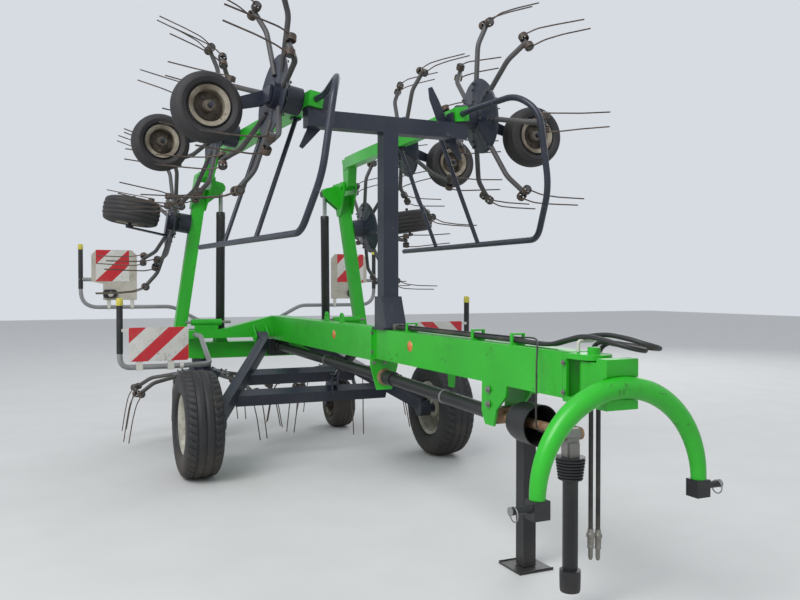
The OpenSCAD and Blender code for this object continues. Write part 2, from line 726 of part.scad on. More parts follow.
// Outline of a tyre's section: bead, flange seat, side wall, shoulder and crown
module tyre_outline(d, w, bead) {
    h = d / 2;
    k = w / 2;
    polygon([[bead, -k * 0.7], [bead + 18, -k * 0.7], [bead + 30, -k * 0.92], [(bead + h) / 2 + 6, -k],
        [h - 42, -k * 0.96], [h - 16, -k * 0.82], [h - 3, -k * 0.45], [h, 0], [h - 3, k * 0.45],
        [h - 16, k * 0.82], [h - 42, k * 0.96], [(bead + h) / 2 + 6, k], [bead + 30, k * 0.92],
        [bead + 18, k * 0.7], [bead, k * 0.7]]);
}

module road_tyre() {
    color(black) translate([0, track / 2, road_tyre_d / 2]) rotate([90, 0, 0])
        rotate_extrude($fn = 96) tyre_outline(road_tyre_d, road_tyre_w, 196.3);
}

module road_rim() {
    f = road_tyre_w * 0.35 + seat;
    color(cream) translate([0, track / 2, road_tyre_d / 2]) rotate([-90, 0, 0])
        rotate_extrude($fn = 96) polygon([[30 + run, -58], [72, -58], [72, -8], [150, 18], [184, 22],
            [184, -f + 12], [190, -f - 6], [212, -f - 10], [212, -f], [196, -f], [196, f], [212, f],
            [212, f + 10], [190, f + 6], [184, f - 12], [184, 36], [150, 32], [72, 6], [66, 54],
            [30 + run, 58]]);
}

// Cylinder that lowers and lifts the transport frame
front_beam_x = -334;
rear_beam_x = -621;
chassis_pin = down(front_beam_x) + [15, 170 - down(front_beam_x).y, 72];
beam_pin = [330, 170, 950];
chassis_len = norm(beam_pin - chassis_pin);
chassis_lean = atan2(beam_pin.z - chassis_pin.z, beam_pin.x - chassis_pin.x);

module chassis_barrel() {
    color(black) translate(beam_pin) rotate([0, -chassis_lean, 0]) rotate([0, -90, 0]) difference() {
        union() {
            translate([0, 0, 30]) cylinder(h = chassis_len - 220, r = 36);
            rotate([90, 0, 0]) cylinder(h = 74, r = 34, center = true);
        }
        translate([0, 0, 60]) cylinder(h = chassis_len, r = 16 + run);
        rotate([90, 0, 0]) cylinder(h = 80, r = 15 + run, center = true);
    }
}

module chassis_rod() {
    color(grey) translate(chassis_pin) rotate([0, 90 - chassis_lean, 0]) union() {
        cylinder(h = chassis_len - 172, r = 16);
        rotate([90, 0, 0]) cylinder(h = 34 - 2 * seat, r = 30, center = true);
    }
}

// Inner wing arm: knuckle on the hinge pin, box beam, knee plates and the lift lug
module inner_arm() {
    px = rotor_x + knee_e;
    py = hinge_y + knee_s;
    k0 = row_z - arm_w / 2;
    k1 = row_z + arm_w / 2;
    color(green) lift() union() {
        difference() {
            union() {
                translate([rotor_x - row_w / 2 + 5, hinge_y, row_z]) rotate([0, 90, 0])
                    cylinder(h = row_w - 10, r = 42);
                box([rotor_x - arm_w / 2, hinge_y, k0], [rotor_x + arm_w / 2, py - 75, k1]);
            }
            translate([rotor_x - row_w, hinge_y, row_z]) rotate([0, 90, 0])
                cylinder(h = 2 * row_w, r = hinge_pin_r + run);
        }
        for (z = [k0 - 15, k1]) {
            slab(z, z + 15) union() {
                translate([rotor_x - arm_w / 2, py - 260]) square([arm_w, 300]);
                polygon([[rotor_x, py - 260], [rotor_x + arm_w / 2, py - 260], [px + 45, py - 40],
                    [px + 45, py + 5], [px, py + 40], [rotor_x, py + 40]]);
                translate([px, py]) circle(r = 45);
            }
        }
        box([rotor_x - arm_w / 2, py - 260, k0 - 15], [rotor_x + arm_w / 2, py - 75, k1 + 15]);
        knee_bar(arm_w + 60, knee_pin_r);
        for (x = [rotor_x - 45.3, rotor_x + 30.3]) {
            translate([x, py - 35, k1 + 10]) rotate([90, 0, 90]) linear_extrude(15)
                polygon([[-170, 0], [60, 0], [45, 120], [20, 145], [-20, 145], [-45, 120]]);
        }
    }
}

module inner_leg() {
    color(slate) lift() wheel_leg(1, row_z - arm_w / 2);
}

outer_end = rotor_ys[3] + 165;

// Outer wing arm: link with its knuckle between the knee plates, and the tapered girder that it is fixed to
module outer_arm() {
    px = rotor_x + knee_e;
    py = hinge_y + knee_s;
    k = outer_w / 2;
    color(green) knee() {
        difference() {
            slab(row_z - 40, row_z + 40) union() {
                translate([px, py]) circle(r = 42);
                polygon([[px - 42, py - 4], [px + 42, py], [px + 10, py + 110], [rotor_x + k, py + 200],
                    [rotor_x - k, py + 200], [rotor_x - k, py + 55]]);
            }
            knee_bar(120, knee_pin_r + run);
            box([rotor_x - k - 1, py + 55 - seat, row_z - k], [rotor_x + k + seat, outer_end, row_z + k]);
        }
        union() {
            box([rotor_x - k, py + 55, row_z - k], [rotor_x + k, outer_end, row_z + k]);
            translate([rotor_x - k, 0, 0]) rotate([90, 0, 90]) linear_extrude(outer_w)
                polygon([[py + 160, row_z + k - 5], [py + 1500, row_z + k - 5], [py + 1450, row_z + k + 12],
                    [py + 700, row_z + k + 40], [py + 260, row_z + k + 40]]);
        }
    }
}

module outer_legs() {
    color(slate) knee() union() {
        wheel_leg(2, row_z - outer_w / 2);
        wheel_leg(3, row_z - outer_w / 2);
    }
}

// Bent tube that fences the outer rotors, with its struts
guard_z = row_z - 150;
guard_ys = [rotor_ys[2] - 200, rotor_ys[2] + 420, rotor_ys[3] - 200, rotor_ys[3] + 640, rotor_ys[3] + 830];
guard_out = 850;

module guard() {
    x1 = rotor_x + guard_out;
    route = [[x1, guard_ys[0], guard_z], [x1, guard_ys[3], guard_z], [rotor_x + 560, guard_ys[4], guard_z],
        [rotor_x + 120, guard_ys[4], guard_z], [rotor_x, guard_ys[4] - 130, guard_z + 60],
        [rotor_x, outer_end + 130, row_z], [rotor_x, outer_end + seat, row_z]];
    color(slate) knee() union() {
        pipe(rounded(route, 90), 19, [0, 0, 1], 12);
        for (y = [guard_ys[1], guard_ys[2]]) {
            bar([rotor_x + outer_w / 2 + 6, y, row_z + 15], [x1, y + 60, guard_z], 15);
            box([rotor_x + outer_w / 2 + seat, y - 30, row_z - 15],
                [rotor_x + outer_w / 2 + 12, y + 30, row_z + 40]);
        }
    }
}

module left_inner_arm() { side(true) inner_arm(); }
module right_inner_arm() { side(false) inner_arm(); }
module left_inner_leg() { side(true) inner_leg(); }
module right_inner_leg() { side(false) inner_leg(); }
module left_outer_arm() { side(true) outer_arm(); }
module right_outer_arm() { side(false) outer_arm(); }
module left_outer_legs() { side(true) outer_legs(); }
module right_outer_legs() { side(false) outer_legs(); }
module left_guard() { side(true) guard(); }
module right_guard() { side(false) guard(); }

// Lift cylinder of a wing, between the lower cross beam and the lug at the knee
lift_base = [rotor_x, 500, 905];
lift_s = knee_s - 35;
lift_u = 50 + 10 + 115;
lift_eye = [rotor_x, hinge_y + lift_s * cos(fold_deg) - lift_u * sin(fold_deg),
    row_z + lift_s * sin(fold_deg) + lift_u * cos(fold_deg)];
lift_len = norm(lift_eye - lift_base);
lift_lean = atan2(lift_eye.y - lift_base.y, lift_eye.z - lift_base.z);

module lift_barrel() {
    color(black) translate(lift_base) rotate([-lift_lean, 0, 0]) difference() {
        union() {
            translate([0, 0, 35]) cylinder(h = lift_len - 245, r = 40);
            rotate([0, 90, 0]) cylinder(h = 84, r = 40, center = true);
        }
        translate([0, 0, 60]) cylinder(h = lift_len, r = 20 + run);
        rotate([0, 90, 0]) cylinder(h = 100, r = 15 + run, center = true);
    }
}

module lift_rod() {
    color(grey) translate(lift_eye) rotate([180 - lift_lean, 0, 0]) union() {
        cylinder(h = lift_len - 80, r = 20);
        rotate([0, 90, 0]) cylinder(h = 60, r = 36, center = true);
    }
}

module left_lift_barrel() { side(true) lift_barrel(); }
module right_lift_barrel() { side(false) lift_barrel(); }
module left_lift_rod() { side(true) lift_rod(); }
module right_lift_rod() { side(false) lift_rod(); }

// One spring tine pair on its arm, along +Y of the rotor
module tine_arm() {
    coil_z = 455;
    bar([0, 150, 590], [0, 470, 535], arm_r);
    bar([0, 462, 536], [0, coil_r, coil_z], arm_r);
    translate([-62, coil_r, coil_z]) rotate([0, 90, 0]) cylinder(h = 124, r = 12);
    for (s = [-1, 1]) {
        translate([s * 38 - 17, coil_r, coil_z]) rotate([0, 90, 0]) cylinder(h = 34, r = 31);
        bar([s * 38, coil_r + 22, coil_z - 5], [s * 38, coil_r + 58, coil_z - 90], 5);
        bar([s * 38, coil_r + 57, coil_z - 87], [s * 38, tip_r, tip_z], 5);
    }
}

// Rotor: hub on the spindle, dish, and arms with their tines
module rotor(i, phase) {
    color(tine_grey) translate([rotor_x, rotor_ys[i], 0]) difference() {
        union() {
            rotate_extrude() polygon([[30, 561], [hub_r, 561], [hub_r, 596], [dish_r - 20, 580], [dish_r, 572],
                [dish_r, 580], [dish_r - 18, 590], [110, 622], [hub_r, hub_top], [30, hub_top]]);
            for (k = [0 : arm_count - 1]) {
                rotate([0, 0, -phase - k * arm_pitch]) tine_arm();
            }
        }
        translate([0, 0, 500]) cylinder(h = 200, r = spindle_r + run);
    }
}

module left_rotor(i) { section(i) rotor(i, left_phases[i]); }
module right_rotor(i) { side(false) section(i) rotor(i, 180 - right_phases[i]); }

module left_rotor_1() { left_rotor(0); }
module left_rotor_2() { left_rotor(1); }
module left_rotor_3() { left_rotor(2); }
module left_rotor_4() { left_rotor(3); }
module right_rotor_1() { right_rotor(0); }
module right_rotor_2() { right_rotor(1); }
module right_rotor_3() { right_rotor(2); }
module right_rotor_4() { right_rotor(3); }

// Small wheel under a rotor, tyre and rim in one piece
module rotor_wheel(i) {
    d = rotor_tyre_ds[i];
    w = rotor_tyre_ws[i];
    color(black) section(i) translate([rotor_x + wheel_leads[i], rotor_ys[i], d / 2]) rotate([90, 0, 0])
        rotate_extrude($fn = 72) union() {
            tyre_outline(d, w, 100);
            polygon([[axle_r + run, -w / 2 + 8], [40, -w / 2 + 8], [40, -12], [90, -20], [90, -w / 2 + 10],
                [106, -w / 2 + 6], [106, w / 2 - 6], [90, w / 2 - 10], [90, 0], [40, 12], [40, w / 2 - 8],
                [axle_r + run, w / 2 - 8]]);
        }
}

module left_wheel_1() { side(true) rotor_wheel(0); }
module left_wheel_2() { side(true) rotor_wheel(1); }
module left_wheel_3() { side(true) rotor_wheel(2); }
module left_wheel_4() { side(true) rotor_wheel(3); }
module right_wheel_1() { side(false) rotor_wheel(0); }
module right_wheel_2() { side(false) rotor_wheel(1); }
module right_wheel_3() { side(false) rotor_wheel(2); }
module right_wheel_4() { side(false) rotor_wheel(3); }

main_beam_front();
main_beam_rear();
crossmember();
rotor_beam();
rest_post();
headstock();
pto_line();
pto_bearings();
pto_bell();
centre_gearbox();
centre_wheel_legs();
board_carriers();
warning_boards();
hose_1();
hose_2();
thin_cord();
hose_fittings();
stand_leg();
hitch_swivel();
hitch_arch();
link_pins();
pto_joint();
pto_shaft();
transport_chassis();
chassis_barrel();
chassis_rod();
left_road_tyre();
left_road_rim();
right_road_tyre();
right_road_rim();
left_inner_arm();
left_inner_leg();
left_lift_barrel();
left_lift_rod();
left_outer_arm();
left_outer_legs();
left_guard();
right_inner_arm();
right_inner_leg();
right_lift_barrel();
right_lift_rod();
right_outer_arm();
right_outer_legs();
right_guard();
left_rotor_1();
left_rotor_2();
left_rotor_3();
left_rotor_4();
right_rotor_1();
right_rotor_2();
right_rotor_3();
right_rotor_4();
left_wheel_1();
left_wheel_2();
left_wheel_3();
left_wheel_4();
right_wheel_1();
right_wheel_2();
right_wheel_3();
right_wheel_4();
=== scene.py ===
import math

import bmesh
import bpy
import numpy as np
from mathutils import Matrix, Vector


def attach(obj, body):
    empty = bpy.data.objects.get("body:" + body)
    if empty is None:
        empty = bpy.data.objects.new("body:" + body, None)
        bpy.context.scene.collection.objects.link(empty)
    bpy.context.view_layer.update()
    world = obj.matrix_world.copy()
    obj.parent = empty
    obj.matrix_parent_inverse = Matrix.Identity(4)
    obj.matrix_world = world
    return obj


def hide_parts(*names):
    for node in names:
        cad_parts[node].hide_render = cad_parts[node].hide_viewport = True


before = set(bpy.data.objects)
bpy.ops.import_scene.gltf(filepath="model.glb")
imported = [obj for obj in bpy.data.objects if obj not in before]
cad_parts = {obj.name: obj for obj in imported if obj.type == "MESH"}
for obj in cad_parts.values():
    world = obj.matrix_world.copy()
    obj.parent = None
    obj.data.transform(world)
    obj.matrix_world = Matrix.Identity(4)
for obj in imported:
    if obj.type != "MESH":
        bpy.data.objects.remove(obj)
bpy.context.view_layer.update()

# At eye height, a few metres from the hitch; "down" is the fall of its view in degrees
camera = {"place": (5.741, -2.003, 1.348), "look": (-0.91, 0.4146), "down": 0.93, "lens": 36.0,
          "sensor": 36.0, "reach": 200.0}
cameraData = bpy.data.cameras.new("camera")
cameraData.lens = camera["lens"]
cameraData.sensor_width = camera["sensor"]
cameraData.clip_end = camera["reach"]
cameraObject = bpy.data.objects.new("camera", cameraData)
bpy.context.scene.collection.objects.link(cameraObject)
cameraObject.location = camera["place"]
fallPerMetre = math.tan(math.radians(camera["down"]))
lookDirection = Vector((*camera["look"], -fallPerMetre))
cameraObject.rotation_euler = lookDirection.to_track_quat("-Z", "Y").to_euler()
bpy.context.scene.camera = cameraObject
bpy.context.scene.view_settings.view_transform = "Standard"


# A part is its points and its groups of faces; joined, each part's indices start where the last part ends
def joinParts(parts):
    points = np.concatenate([p for p, _ in parts])
    faces = []
    first = 0
    for p, groups in parts:
        faces += [g + first for g in groups]
        first += len(p)
    return points, faces


# The quads of a grid of points, open or closed either way
def gridFaces(rows, cols, closeRows=False, closeCols=False):
    a, b = np.meshgrid(np.arange(rows if closeRows else rows - 1),
                       np.arange(cols if closeCols else cols - 1), indexing="ij")
    c, d = (a + 1) % rows, (b + 1) % cols
    return np.stack([a * cols + b, c * cols + b, c * cols + d, a * cols + d], -1).reshape(-1, 4)


# A part carried by a matrix, its faces turned round where the matrix mirrors
def moved(part, matrix):
    points, faces = part
    matrix = np.asarray(matrix, float)
    points = points @ matrix[:3, :3].T + matrix[:3, 3]
    if np.linalg.det(matrix[:3, :3]) < 0:
        faces = [g[:, ::-1] for g in faces]
    return points, faces


# A move by three distances, as a matrix
def shift(x, y, z):
    m = np.eye(4)
    m[:3, 3] = (x, y, z)
    return m


# A turn about an axis through a point: the point is moved to the origin, turned and moved back
def turn(axis, degrees, about=(0, 0, 0)):
    m = np.array(Matrix.Rotation(math.radians(degrees), 4, Vector(axis)))
    return shift(*about) @ m @ shift(*[-a for a in about])


# A frame at a point, its z axis along a direction
def basis(origin, direction, upward=(0, 0, 1)):
    z = np.array(direction, float) / np.linalg.norm(direction)
    x = np.cross(upward, z)
    if np.linalg.norm(x) < 1e-6:
        x = np.array([1.0, 0, 0])
    x /= np.linalg.norm(x)
    m = np.eye(4)
    m[:3, 0], m[:3, 1], m[:3, 2], m[:3, 3] = x, np.cross(z, x), z, origin
    return m


# The two sides of the machine are mirror images in y
alongX, alongY, alongZ = (1, 0, 0), (0, 1, 0), (0, 0, 1)
sides = (("left", np.eye(4)), ("right", np.diag([1.0, -1.0, 1.0, 1.0])))
bothSigns = (-1, 1)


# Each part and its mirror image
def onBothSides(parts):
    return [moved(part, flip) for part in parts for _, flip in sides]


# A round tube along a path of points, its frame carried from ring to ring without twist
def tubeAlong(path, radius, sides=12, closed=False):
    path = np.asarray(path, float)
    count = len(path)
    radius = np.broadcast_to(np.asarray(radius, float), (count,))
    if closed:
        tangent = np.roll(path, -1, 0) - np.roll(path, 1, 0)
    else:
        tangent = np.gradient(path, axis=0)
    tangent /= np.linalg.norm(tangent, axis=1)[:, None]
    normal = np.cross(tangent[0], [0.31, 0.17, 0.94])
    if np.linalg.norm(normal) < 0.1:
        normal = np.cross(tangent[0], [0.9, 0.1, 0.2])
    normals = []
    for t in tangent:
        normal = normal - np.dot(normal, t) * t
        normal = normal / np.linalg.norm(normal)
        normals.append(normal)
    normals = np.array(normals)
    sideways = np.cross(tangent, normals)
    angle = np.linspace(0, 2 * np.pi, sides, endpoint=False)[None, :, None]
    ring = np.cos(angle) * normals[:, None] + np.sin(angle) * sideways[:, None]
    points = (path[:, None] + radius[:, None, None] * ring).reshape(-1, 3)
    faces = [gridFaces(count, sides, closed, True)[:, ::-1]]
    if not closed:
        faces += [np.arange(sides)[None, ::-1], np.arange(sides)[None] + (count - 1) * sides]
    return points, faces


# A route with each corner replaced by a parabola that starts a given length before it
def rounded(route, lengths, steps=8):
    route = np.asarray(route, float)
    out = [route[:1]]
    u = np.linspace(0, 1, steps + 1)[:, None]
    lengths = np.broadcast_to(lengths, (len(route) - 2,))
    for before, corner, after, length in zip(route[:-2], route[1:-1], route[2:], lengths):
        a = corner + length * (before - corner) / np.linalg.norm(before - corner)
        b = corner + length * (after - corner) / np.linalg.norm(after - corner)
        out.append((1 - u) ** 2 * a + 2 * u * (1 - u) * corner + u ** 2 * b)
    out.append(route[-1:])
    return np.concatenate(out)


# A smooth curve through points: cubic pieces whose end slopes follow the neighbours, and long straights
def smooth(route, step, straight=0.3):
    p = np.asarray(route, float)
    before = np.concatenate([p[:1], p[:-1]])
    after = np.concatenate([p[1:], p[-1:]])
    out = []
    for b, c, early, late in zip(p[:-1], p[1:], before[:-1], after[1:]):
        length = np.linalg.norm(c - b)
        count = 1 if length > straight else math.ceil(length / step)
        u = np.linspace(0, 1, count, endpoint=False)[:, None]
        v = length * (c - early) / np.linalg.norm(c - early)
        w = length * (late - b) / np.linalg.norm(late - b)
        ends = (1 - u) ** 2 * (1 + 2 * u) * b + u * u * (3 - 2 * u) * c
        out.append(ends + u * (1 - u) ** 2 * v - u * u * (1 - u) * w)
    return np.concatenate(out + [p[-1:]])


# A profile of (radius, height) pairs turned about z; ends with radius 0 are closed poles
def turned(profile, steps=48, closed=False, ripple=None):
    profile = np.asarray(profile, float)
    angle = np.linspace(0, 2 * np.pi, steps, endpoint=False)
    r = np.broadcast_to(profile[:, 0], (steps, len(profile)))
    if ripple is not None:
        r = r + ripple(angle[:, None], profile[None, :, 1])
    points = np.stack([r * np.cos(angle)[:, None], r * np.sin(angle)[:, None],
                       np.broadcast_to(profile[:, 1], r.shape)], -1).reshape(-1, 3)
    return points, [gridFaces(steps, len(profile), True, closed)]


# The profile of a bar or a sleeve, its outer edges cut off where a chamfer is given
def barProfile(inner, outer, low, high, chamfer=0.0):
    if chamfer == 0:
        return [[inner, low], [outer, low], [outer, high], [inner, high]]
    return [[inner, low], [outer - chamfer, low], [outer, low + chamfer], [outer, high - chamfer],
            [outer - chamfer, high], [inner, high]]


# A flat outline drawn up from z0 to z1
def slab(outline, z0, z1):
    outline = np.asarray(outline, float)
    n = len(outline)
    turning = np.cross(np.roll(outline, -1, 0) - outline, outline - np.roll(outline, 1, 0)).sum()
    if turning > 0:
        outline = outline[::-1]
    points = np.concatenate([np.c_[outline, np.full(n, z0)], np.c_[outline, np.full(n, z1)]])
    i = np.arange(n)
    j = (i + 1) % n
    return points, [np.stack([i, j, j + n, i + n], -1), i[None, ::-1], i[None] + n]


# A box between its lowest and its highest corner
def block(low, high):
    (x0, y0, z0), (x1, y1, z1) = low, high
    return slab([[x0, y0], [x1, y0], [x1, y1], [x0, y1]], z0, z1)


# A round bar from one point to another
def rod(a, b, radius, sides=20):
    return tubeAlong([a, b], radius, sides)


# A hexagon head with its washer, standing on z = 0
def bolt(size):
    angle = np.radians(np.arange(0, 360, 60))
    head = slab(np.c_[np.cos(angle), np.sin(angle)] * size, size * 0.25, size * 1.0)
    stub = turned([[0, size * 1.3], [size * 0.5, size * 1.3], [size * 0.5, size * 0.9]], 12)
    washer = turned([[0, size * 0.26], [size * 1.35, size * 0.26], [size * 1.35, -0.0005]], 20)
    return joinParts([head, stub, washer])


# Bolts at some places, all standing along one direction
def boltsAt(places, direction, size):
    return [moved(bolt(size), basis(p, direction)) for p in places]


# Bolts in a circle about z
def boltCircle(count, radius, height, size):
    angles = 2 * math.pi * np.arange(count) / count
    return [moved(bolt(size), shift(radius * math.cos(a), radius * math.sin(a), height)) for a in angles]


# A mesh's doubles merged, its flat faces joined where an angle is given, and all turned outwards
def clean(mesh, mergeWithin, flatDegrees=None):
    work = bmesh.new()
    work.from_mesh(mesh)
    bmesh.ops.remove_doubles(work, verts=work.verts, dist=mergeWithin)
    if flatDegrees is None:
        bmesh.ops.dissolve_degenerate(work, edges=work.edges, dist=1e-7)
    else:
        bmesh.ops.dissolve_limit(work, angle_limit=math.radians(flatDegrees), verts=work.verts,
                                 edges=work.edges)
    bmesh.ops.recalc_face_normals(work, faces=work.faces)
    work.to_mesh(mesh)
    work.free()


# A piece from its parts, in its place
def addPiece(name, parts, look, body="frame", nodes=(), place=None, bevel=0.0, angle=32):
    points, faces = joinParts(parts)
    if place is not None:
        points, faces = moved((points, faces), place)
    mesh = bpy.data.meshes.new(name)
    mesh.from_pydata(points.tolist(), [], [f for g in faces for f in g.tolist()])
    clean(mesh, mergeWithin=1e-6)
    return finishPiece(name, mesh, look, body, nodes, bevel, angle)


# A piece that is a copy of a CAD node, with its edges bevelled
def refined(node, look, body, bevel):
    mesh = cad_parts[node].data.copy()
    mesh.materials.clear()
    clean(mesh, mergeWithin=2e-5, flatDegrees=0.6)
    return finishPiece(node + "_shape", mesh, look, body, [node], bevel)


# A mesh made an object with its look and bevel, its body and the nodes that it stands for
def finishPiece(name, mesh, look, body, nodes, bevel, angle=32):
    piece = bpy.data.objects.new(name, mesh)
    bpy.context.scene.collection.objects.link(piece)
    mesh.materials.append(paint[look])
    if bevel:
        edge = piece.modifiers.new("bevel", "BEVEL")
        edge.width = bevel
        edge.segments = 2
        edge.limit_method = "ANGLE"
        edge.angle_limit = math.radians(30)
        edge.harden_normals = True
    mesh.shade_smooth()
    mesh.set_sharp_from_angle(angle=math.radians(angle))
    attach(piece, body)
    if nodes:
        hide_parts(*nodes)
    return piece


print("stage: helpers ready", flush=True)


# A shader node and one of its outputs; each input is given as a value or as the socket that feeds it
def addNode(tree, kind, inputs, output=0, **settings):
    made = tree.nodes.new("ShaderNode" + kind)
    for key, value in settings.items():
        setattr(made, key, value)
    for key, value in inputs.items():
        if isinstance(value, bpy.types.NodeSocket):
            tree.links.new(value, made.inputs[key])
        else:
            made.inputs[key].default_value = value
    return made.outputs[output]


# One operation on numbers, which are given in order as values or sockets
def arithmetic(tree, operation, *inputs, clamp=False):
    return addNode(tree, "Math", dict(enumerate(inputs)), operation=operation, use_clamp=clamp)


# Colour a where the share is 0, colour b where it is 1 and a blend between
def mixed(tree, share, a, b):
    return addNode(tree, "Mix", {"Factor": share, "A": a, "B": b}, "Result", data_type="RGBA")


# A node group with coordinates and named numbers as inputs, and one output
def nodeGroup(name, numbers, output, outputKind="NodeSocketFloat"):
    tree = bpy.data.node_groups.new(name, "ShaderNodeTree")
    tree.interface.new_socket("coord", in_out="INPUT", socket_type="NodeSocketVector")
    for label, value in numbers.items():
        socket = tree.interface.new_socket(label, in_out="INPUT", socket_type="NodeSocketFloat")
        socket.default_value = value
    tree.interface.new_socket(output, in_out="OUTPUT", socket_type=outputKind)
    return tree, tree.nodes.new("NodeGroupInput").outputs, tree.nodes.new("NodeGroupOutput").inputs[output]


# Dust and dirt in soft patches: a coarse noise and a third of a fine one, raised below a height
def makeGrime():
    tree, given, result = nodeGroup("grime", {"scale": 3.0, "amount": 0.5, "height": 0.5}, "mask")
    coarse = addNode(tree, "TexNoise", {"Vector": given["coord"], "Scale": given["scale"], "Detail": 6.0,
                                        "Roughness": 0.65})
    fineScale = arithmetic(tree, "MULTIPLY", given["scale"], 9.0)
    fine = addNode(tree, "TexNoise", {"Vector": given["coord"], "Scale": fineScale, "Detail": 4.0})
    total = arithmetic(tree, "ADD", coarse, arithmetic(tree, "MULTIPLY", fine, 0.35))
    upward = addNode(tree, "SeparateXYZ", {0: given["coord"]}, "Z")
    low = addNode(tree, "MapRange", {"Value": upward, "From Min": 0.0, "From Max": given["height"],
                                     "To Min": 0.28, "To Max": 0.0})
    lifted = arithmetic(tree, "ADD", total, low)
    spread = addNode(tree, "MapRange", {"Value": lifted, "From Min": 0.62, "From Max": 1.05},
                     interpolation_type="SMOOTHSTEP")
    tree.links.new(arithmetic(tree, "MULTIPLY", spread, given["amount"]), result)
    return tree


# Small chips and scratches where a fine noise passes a threshold inside worn areas
def makeChips():
    tree, given, result = nodeGroup("chips", {"scale": 30.0, "amount": 0.5}, "mask")
    fine = addNode(tree, "TexNoise", {"Vector": given["coord"], "Scale": given["scale"], "Detail": 8.0,
                                      "Roughness": 0.7, "Distortion": 0.4})
    area = addNode(tree, "TexNoise", {"Vector": given["coord"], "Scale": 4.0, "Detail": 2.0})
    limit = addNode(tree, "MapRange", {"Value": area, "From Min": 0.3, "From Max": 0.7, "To Min": 0.78,
                                       "To Max": 0.56})
    over = arithmetic(tree, "SUBTRACT", fine, limit)
    sharp = arithmetic(tree, "MULTIPLY", over, 40.0, clamp=True)
    tree.links.new(arithmetic(tree, "MULTIPLY", sharp, given["amount"]), result)
    return tree


# A fine uneven relief
def makeRelief():
    tree, given, result = nodeGroup("relief", {"scale": 60.0, "strength": 0.1, "depth": 0.001}, "normal",
                                    "NodeSocketVector")
    grain = addNode(tree, "TexNoise", {"Vector": given["coord"], "Scale": given["scale"], "Detail": 5.0,
                                       "Roughness": 0.6})
    bump = addNode(tree, "Bump", {"Height": grain, "Strength": given["strength"],
                                  "Distance": given["depth"]})
    tree.links.new(bump, result)
    return tree


grimeGroup, chipsGroup, reliefGroup = makeGrime(), makeChips(), makeRelief()

# What a look has where it says nothing else
usual = {"metal": 0.0, "coat": 0.0, "coatRough": 0.12, "wornRougher": 0.4, "roughest": 0.95,
         "toneScale": 2.5, "grime": 0.4, "grimeScale": 3.0, "mudHeight": 0.6, "dust": (0.20, 0.165, 0.12),
         "chips": 0.4, "chipScale": 30.0, "under": (0.09, 0.05, 0.03), "bump": 0.15, "grain": 60.0}


# A painted, plastic, rubber or metal surface: base colour varied, then dust, then chips
def surface(name, look):
    look = {**usual, **look}
    material = bpy.data.materials.new(name)
    material.use_nodes = True
    tree = material.node_tree
    shader = tree.nodes["Principled BSDF"].inputs
    shader["Metallic"].default_value = look["metal"]
    if look["coat"]:
        shader["Coat Weight"].default_value = look["coat"]
        shader["Coat Roughness"].default_value = look["coatRough"]
    place = addNode(tree, "TexCoord", {}, "Object")
    tone = addNode(tree, "TexNoise", {"Vector": place, "Scale": look["toneScale"], "Detail": 4.0})
    share = addNode(tree, "MapRange", {"Value": tone, "From Min": 0.35, "From Max": 0.65})
    colour = mixed(tree, share, (*look["color"], 1), (*look["second"], 1))
    if "stripes" in look:
        colour = look["stripes"](tree, place, colour)
    grime = addNode(tree, "Group", {"coord": place, "scale": look["grimeScale"], "amount": look["grime"],
                                    "height": look["mudHeight"]}, node_tree=grimeGroup)
    chips = addNode(tree, "Group", {"coord": place, "scale": look["chipScale"], "amount": look["chips"]},
                    node_tree=chipsGroup)
    colour = mixed(tree, grime, colour, (*look["dust"], 1))
    colour = mixed(tree, chips, colour, (*look["under"], 1))
    tree.links.new(colour, shader["Base Color"])
    worn = min(look["roughest"], look["rough"] + look["wornRougher"])
    rough = addNode(tree, "MapRange", {"Value": arithmetic(tree, "MAXIMUM", grime, chips),
                                       "To Min": look["rough"], "To Max": worn})
    tree.links.new(rough, shader["Roughness"])
    relief = addNode(tree, "Group", {"coord": place, "scale": look["grain"], "strength": look["bump"]},
                     node_tree=reliefGroup)
    tree.links.new(relief, shader["Normal"])
    return material


signalRed = (0.47, 0.012, 0.022, 1)


# Slanting red bands: red where z + slope * y, counted in periods, is in the first share of its period
def redBands(bands):
    def build(tree, place, colour):
        across = addNode(tree, "SeparateXYZ", {0: place}, "Y")
        upward = addNode(tree, "SeparateXYZ", {0: place}, "Z")
        if bands["mirrored"]:
            across = arithmetic(tree, "ABSOLUTE", across)
        total = arithmetic(tree, "MULTIPLY_ADD", across, bands["slope"], upward)
        counted = arithmetic(tree, "MULTIPLY_ADD", total, 1 / bands["period"],
                             -bands["start"] / bands["period"])
        red = arithmetic(tree, "LESS_THAN", arithmetic(tree, "FRACT", counted), bands["share"])
        return mixed(tree, red, colour, signalRed)
    return build


